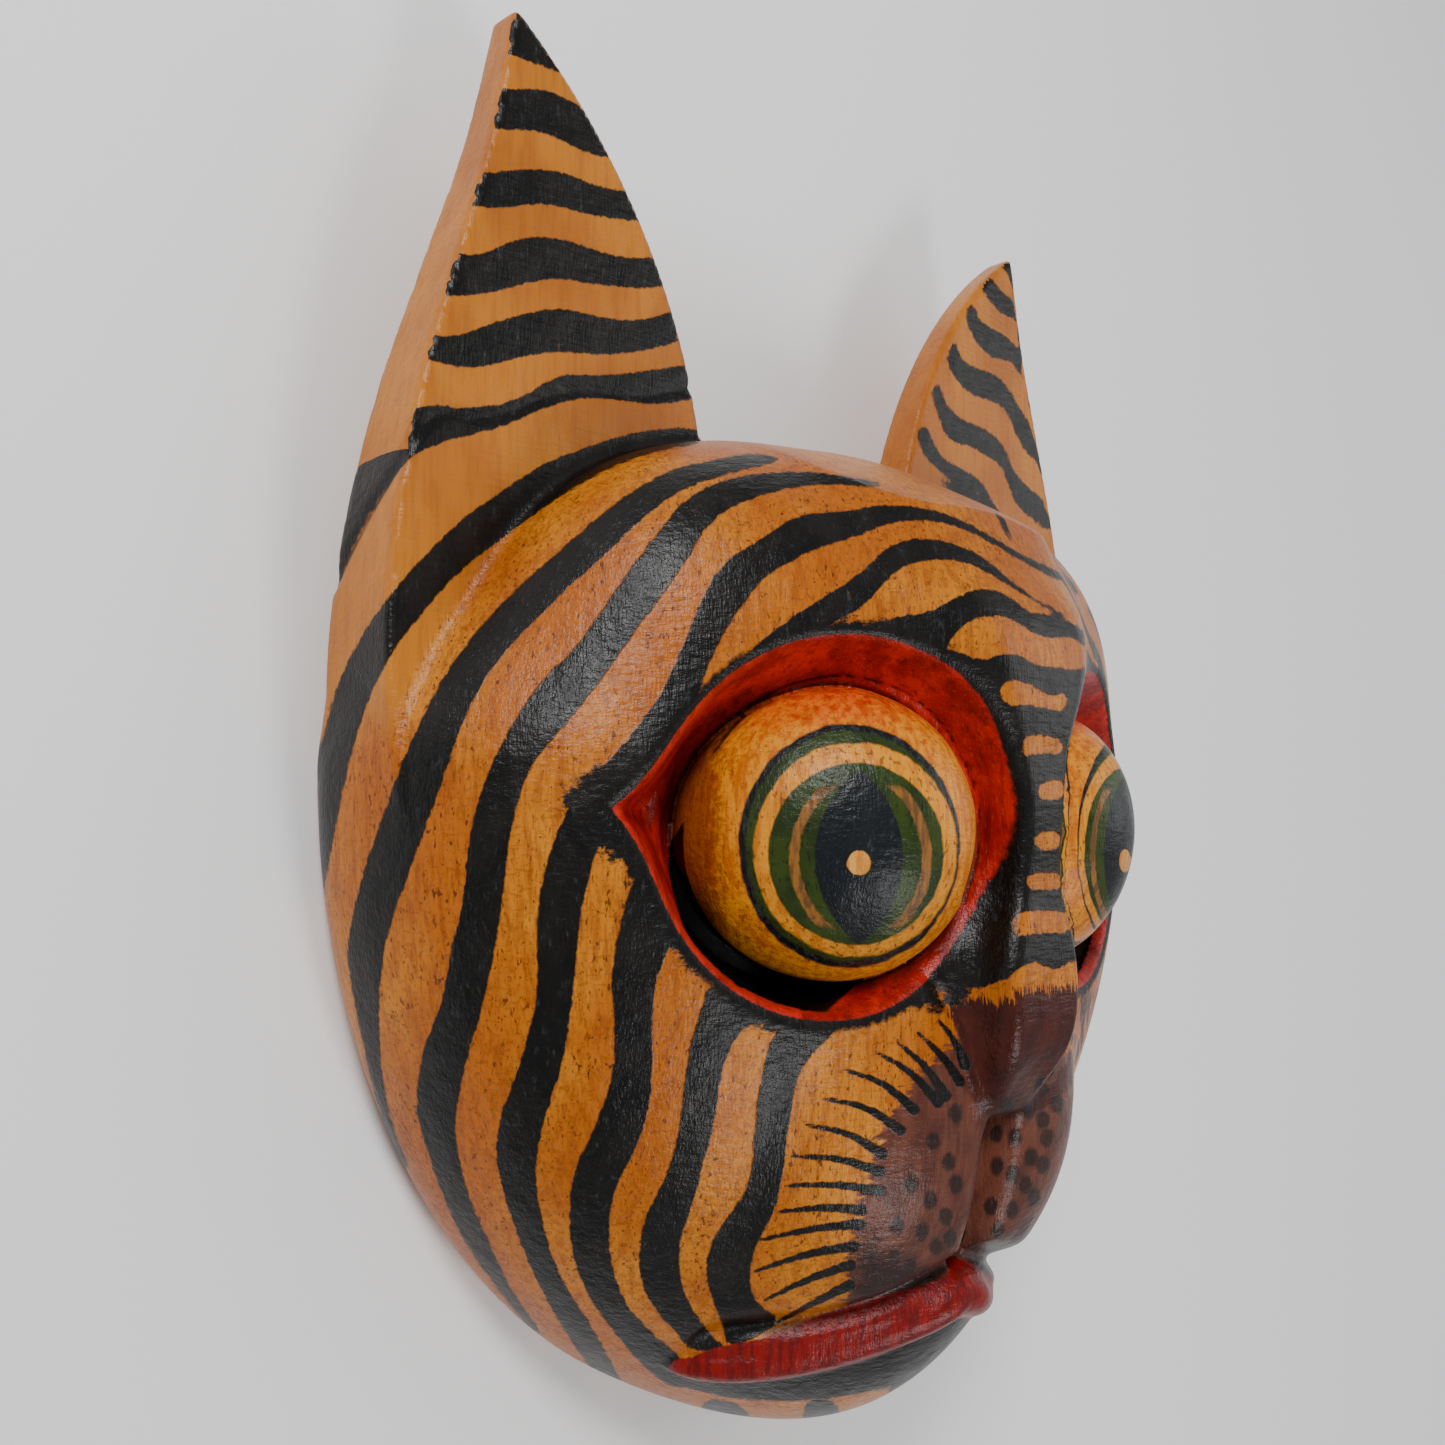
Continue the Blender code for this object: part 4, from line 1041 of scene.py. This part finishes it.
    shine = p.calc("ADD", 0.26, p.calc("MULTIPLY", p.noise(0.004, (1, 2, 1), 3), 0.22))
    shine = p.blend(behind, shine, 0.75)
    p.put(shader.inputs["Roughness"], shine)
    shader.inputs["Specular IOR Level"].default_value = 0.3

    # Fibre, tool marks and the paint's own edge.
    marks = p.noise(0.0016, (3.2, 0.8, 1), 3, 0.6)
    height = p.calc("ADD", p.calc("MULTIPLY", fibre, 0.35), p.calc("MULTIPLY", marks, 0.7))
    height = p.calc("ADD", height, p.calc("MULTIPLY", p.noise(0.009, (1, 1.3, 1), 2), 1.4))
    height = p.calc("ADD", height, p.calc("MULTIPLY", dark, 0.12))
    bump = tree.nodes.new("ShaderNodeBump")
    bump.inputs["Distance"].default_value = 0.0005
    bump.inputs["Strength"].default_value = 0.75
    p.put(bump.inputs["Height"], height)
    p.put(shader.inputs["Normal"], bump.outputs[0])
    return look


def lamp(name, place, aim, size, power):
    data = bpy.data.lights.new(name, "AREA")
    data.shape = "DISK"
    data.size = size
    data.energy = power
    thing = bpy.data.objects.new(name, data)
    thing.location = place
    thing.rotation_euler = (Vector(aim) - Vector(place)).to_track_quat("-Z", "Y").to_euler()
    bpy.context.scene.collection.objects.link(thing)
    return thing


def main():
    piece = bpy.data.objects.new("painted_cat_mask", painted_wood_mesh())
    bpy.context.scene.collection.objects.link(piece)
    piece.data.materials.append(painted_wood())
    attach(piece, "root")
    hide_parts("cat_mask")

    ground = bpy.data.meshes.new("floor")
    bm = bmesh.new()
    bmesh.ops.create_grid(bm, x_segments=1, y_segments=1, size=6.0)
    bm.to_mesh(ground)
    bm.free()
    floor = bpy.data.objects.new("floor", ground)
    bpy.context.scene.collection.objects.link(floor)
    pale = bpy.data.materials.new("pale_floor")
    pale.use_nodes = True
    pale.node_tree.nodes["Principled BSDF"].inputs["Base Color"].default_value = (0.93, 0.93, 0.93, 1)
    pale.node_tree.nodes["Principled BSDF"].inputs["Roughness"].default_value = 0.9
    ground.materials.append(pale)

    lamp("key", (-0.62, 0.62, 0.72), (0, 0.02, 0.05), 0.30, 10.0)
    lamp("low", (0.12, -0.75, 0.95), (0, 0, 0.05), 0.36, 5.5)
    lamp("far", (0.95, 0.25, 0.75), (0, 0, 0.05), 0.80, 3.0)
    world = bpy.data.worlds.new("studio")
    world.use_nodes = True
    world.node_tree.nodes["Background"].inputs["Color"].default_value = (1, 1, 1, 1)
    world.node_tree.nodes["Background"].inputs["Strength"].default_value = 0.34
    bpy.context.scene.world = world

    data = bpy.data.cameras.new("camera")
    data.sensor_fit = "HORIZONTAL"
    data.sensor_width = 36.0
    data.lens = 36.0 * CAMERA_FOCUS / PHOTO_SIZE
    data.clip_start = 0.01
    camera = bpy.data.objects.new("camera", data)
    turn = Matrix(np.stack([CAMERA_RIGHT, CAMERA_UP, -CAMERA_AXIS], axis=1).tolist())
    camera.matrix_world = Matrix.Translation(Vector(CAMERA_PLACE) - Vector((0, FRAME_SHIFT, 0))) @ turn.to_4x4()
    bpy.context.scene.collection.objects.link(camera)
    bpy.context.scene.camera = camera


main()
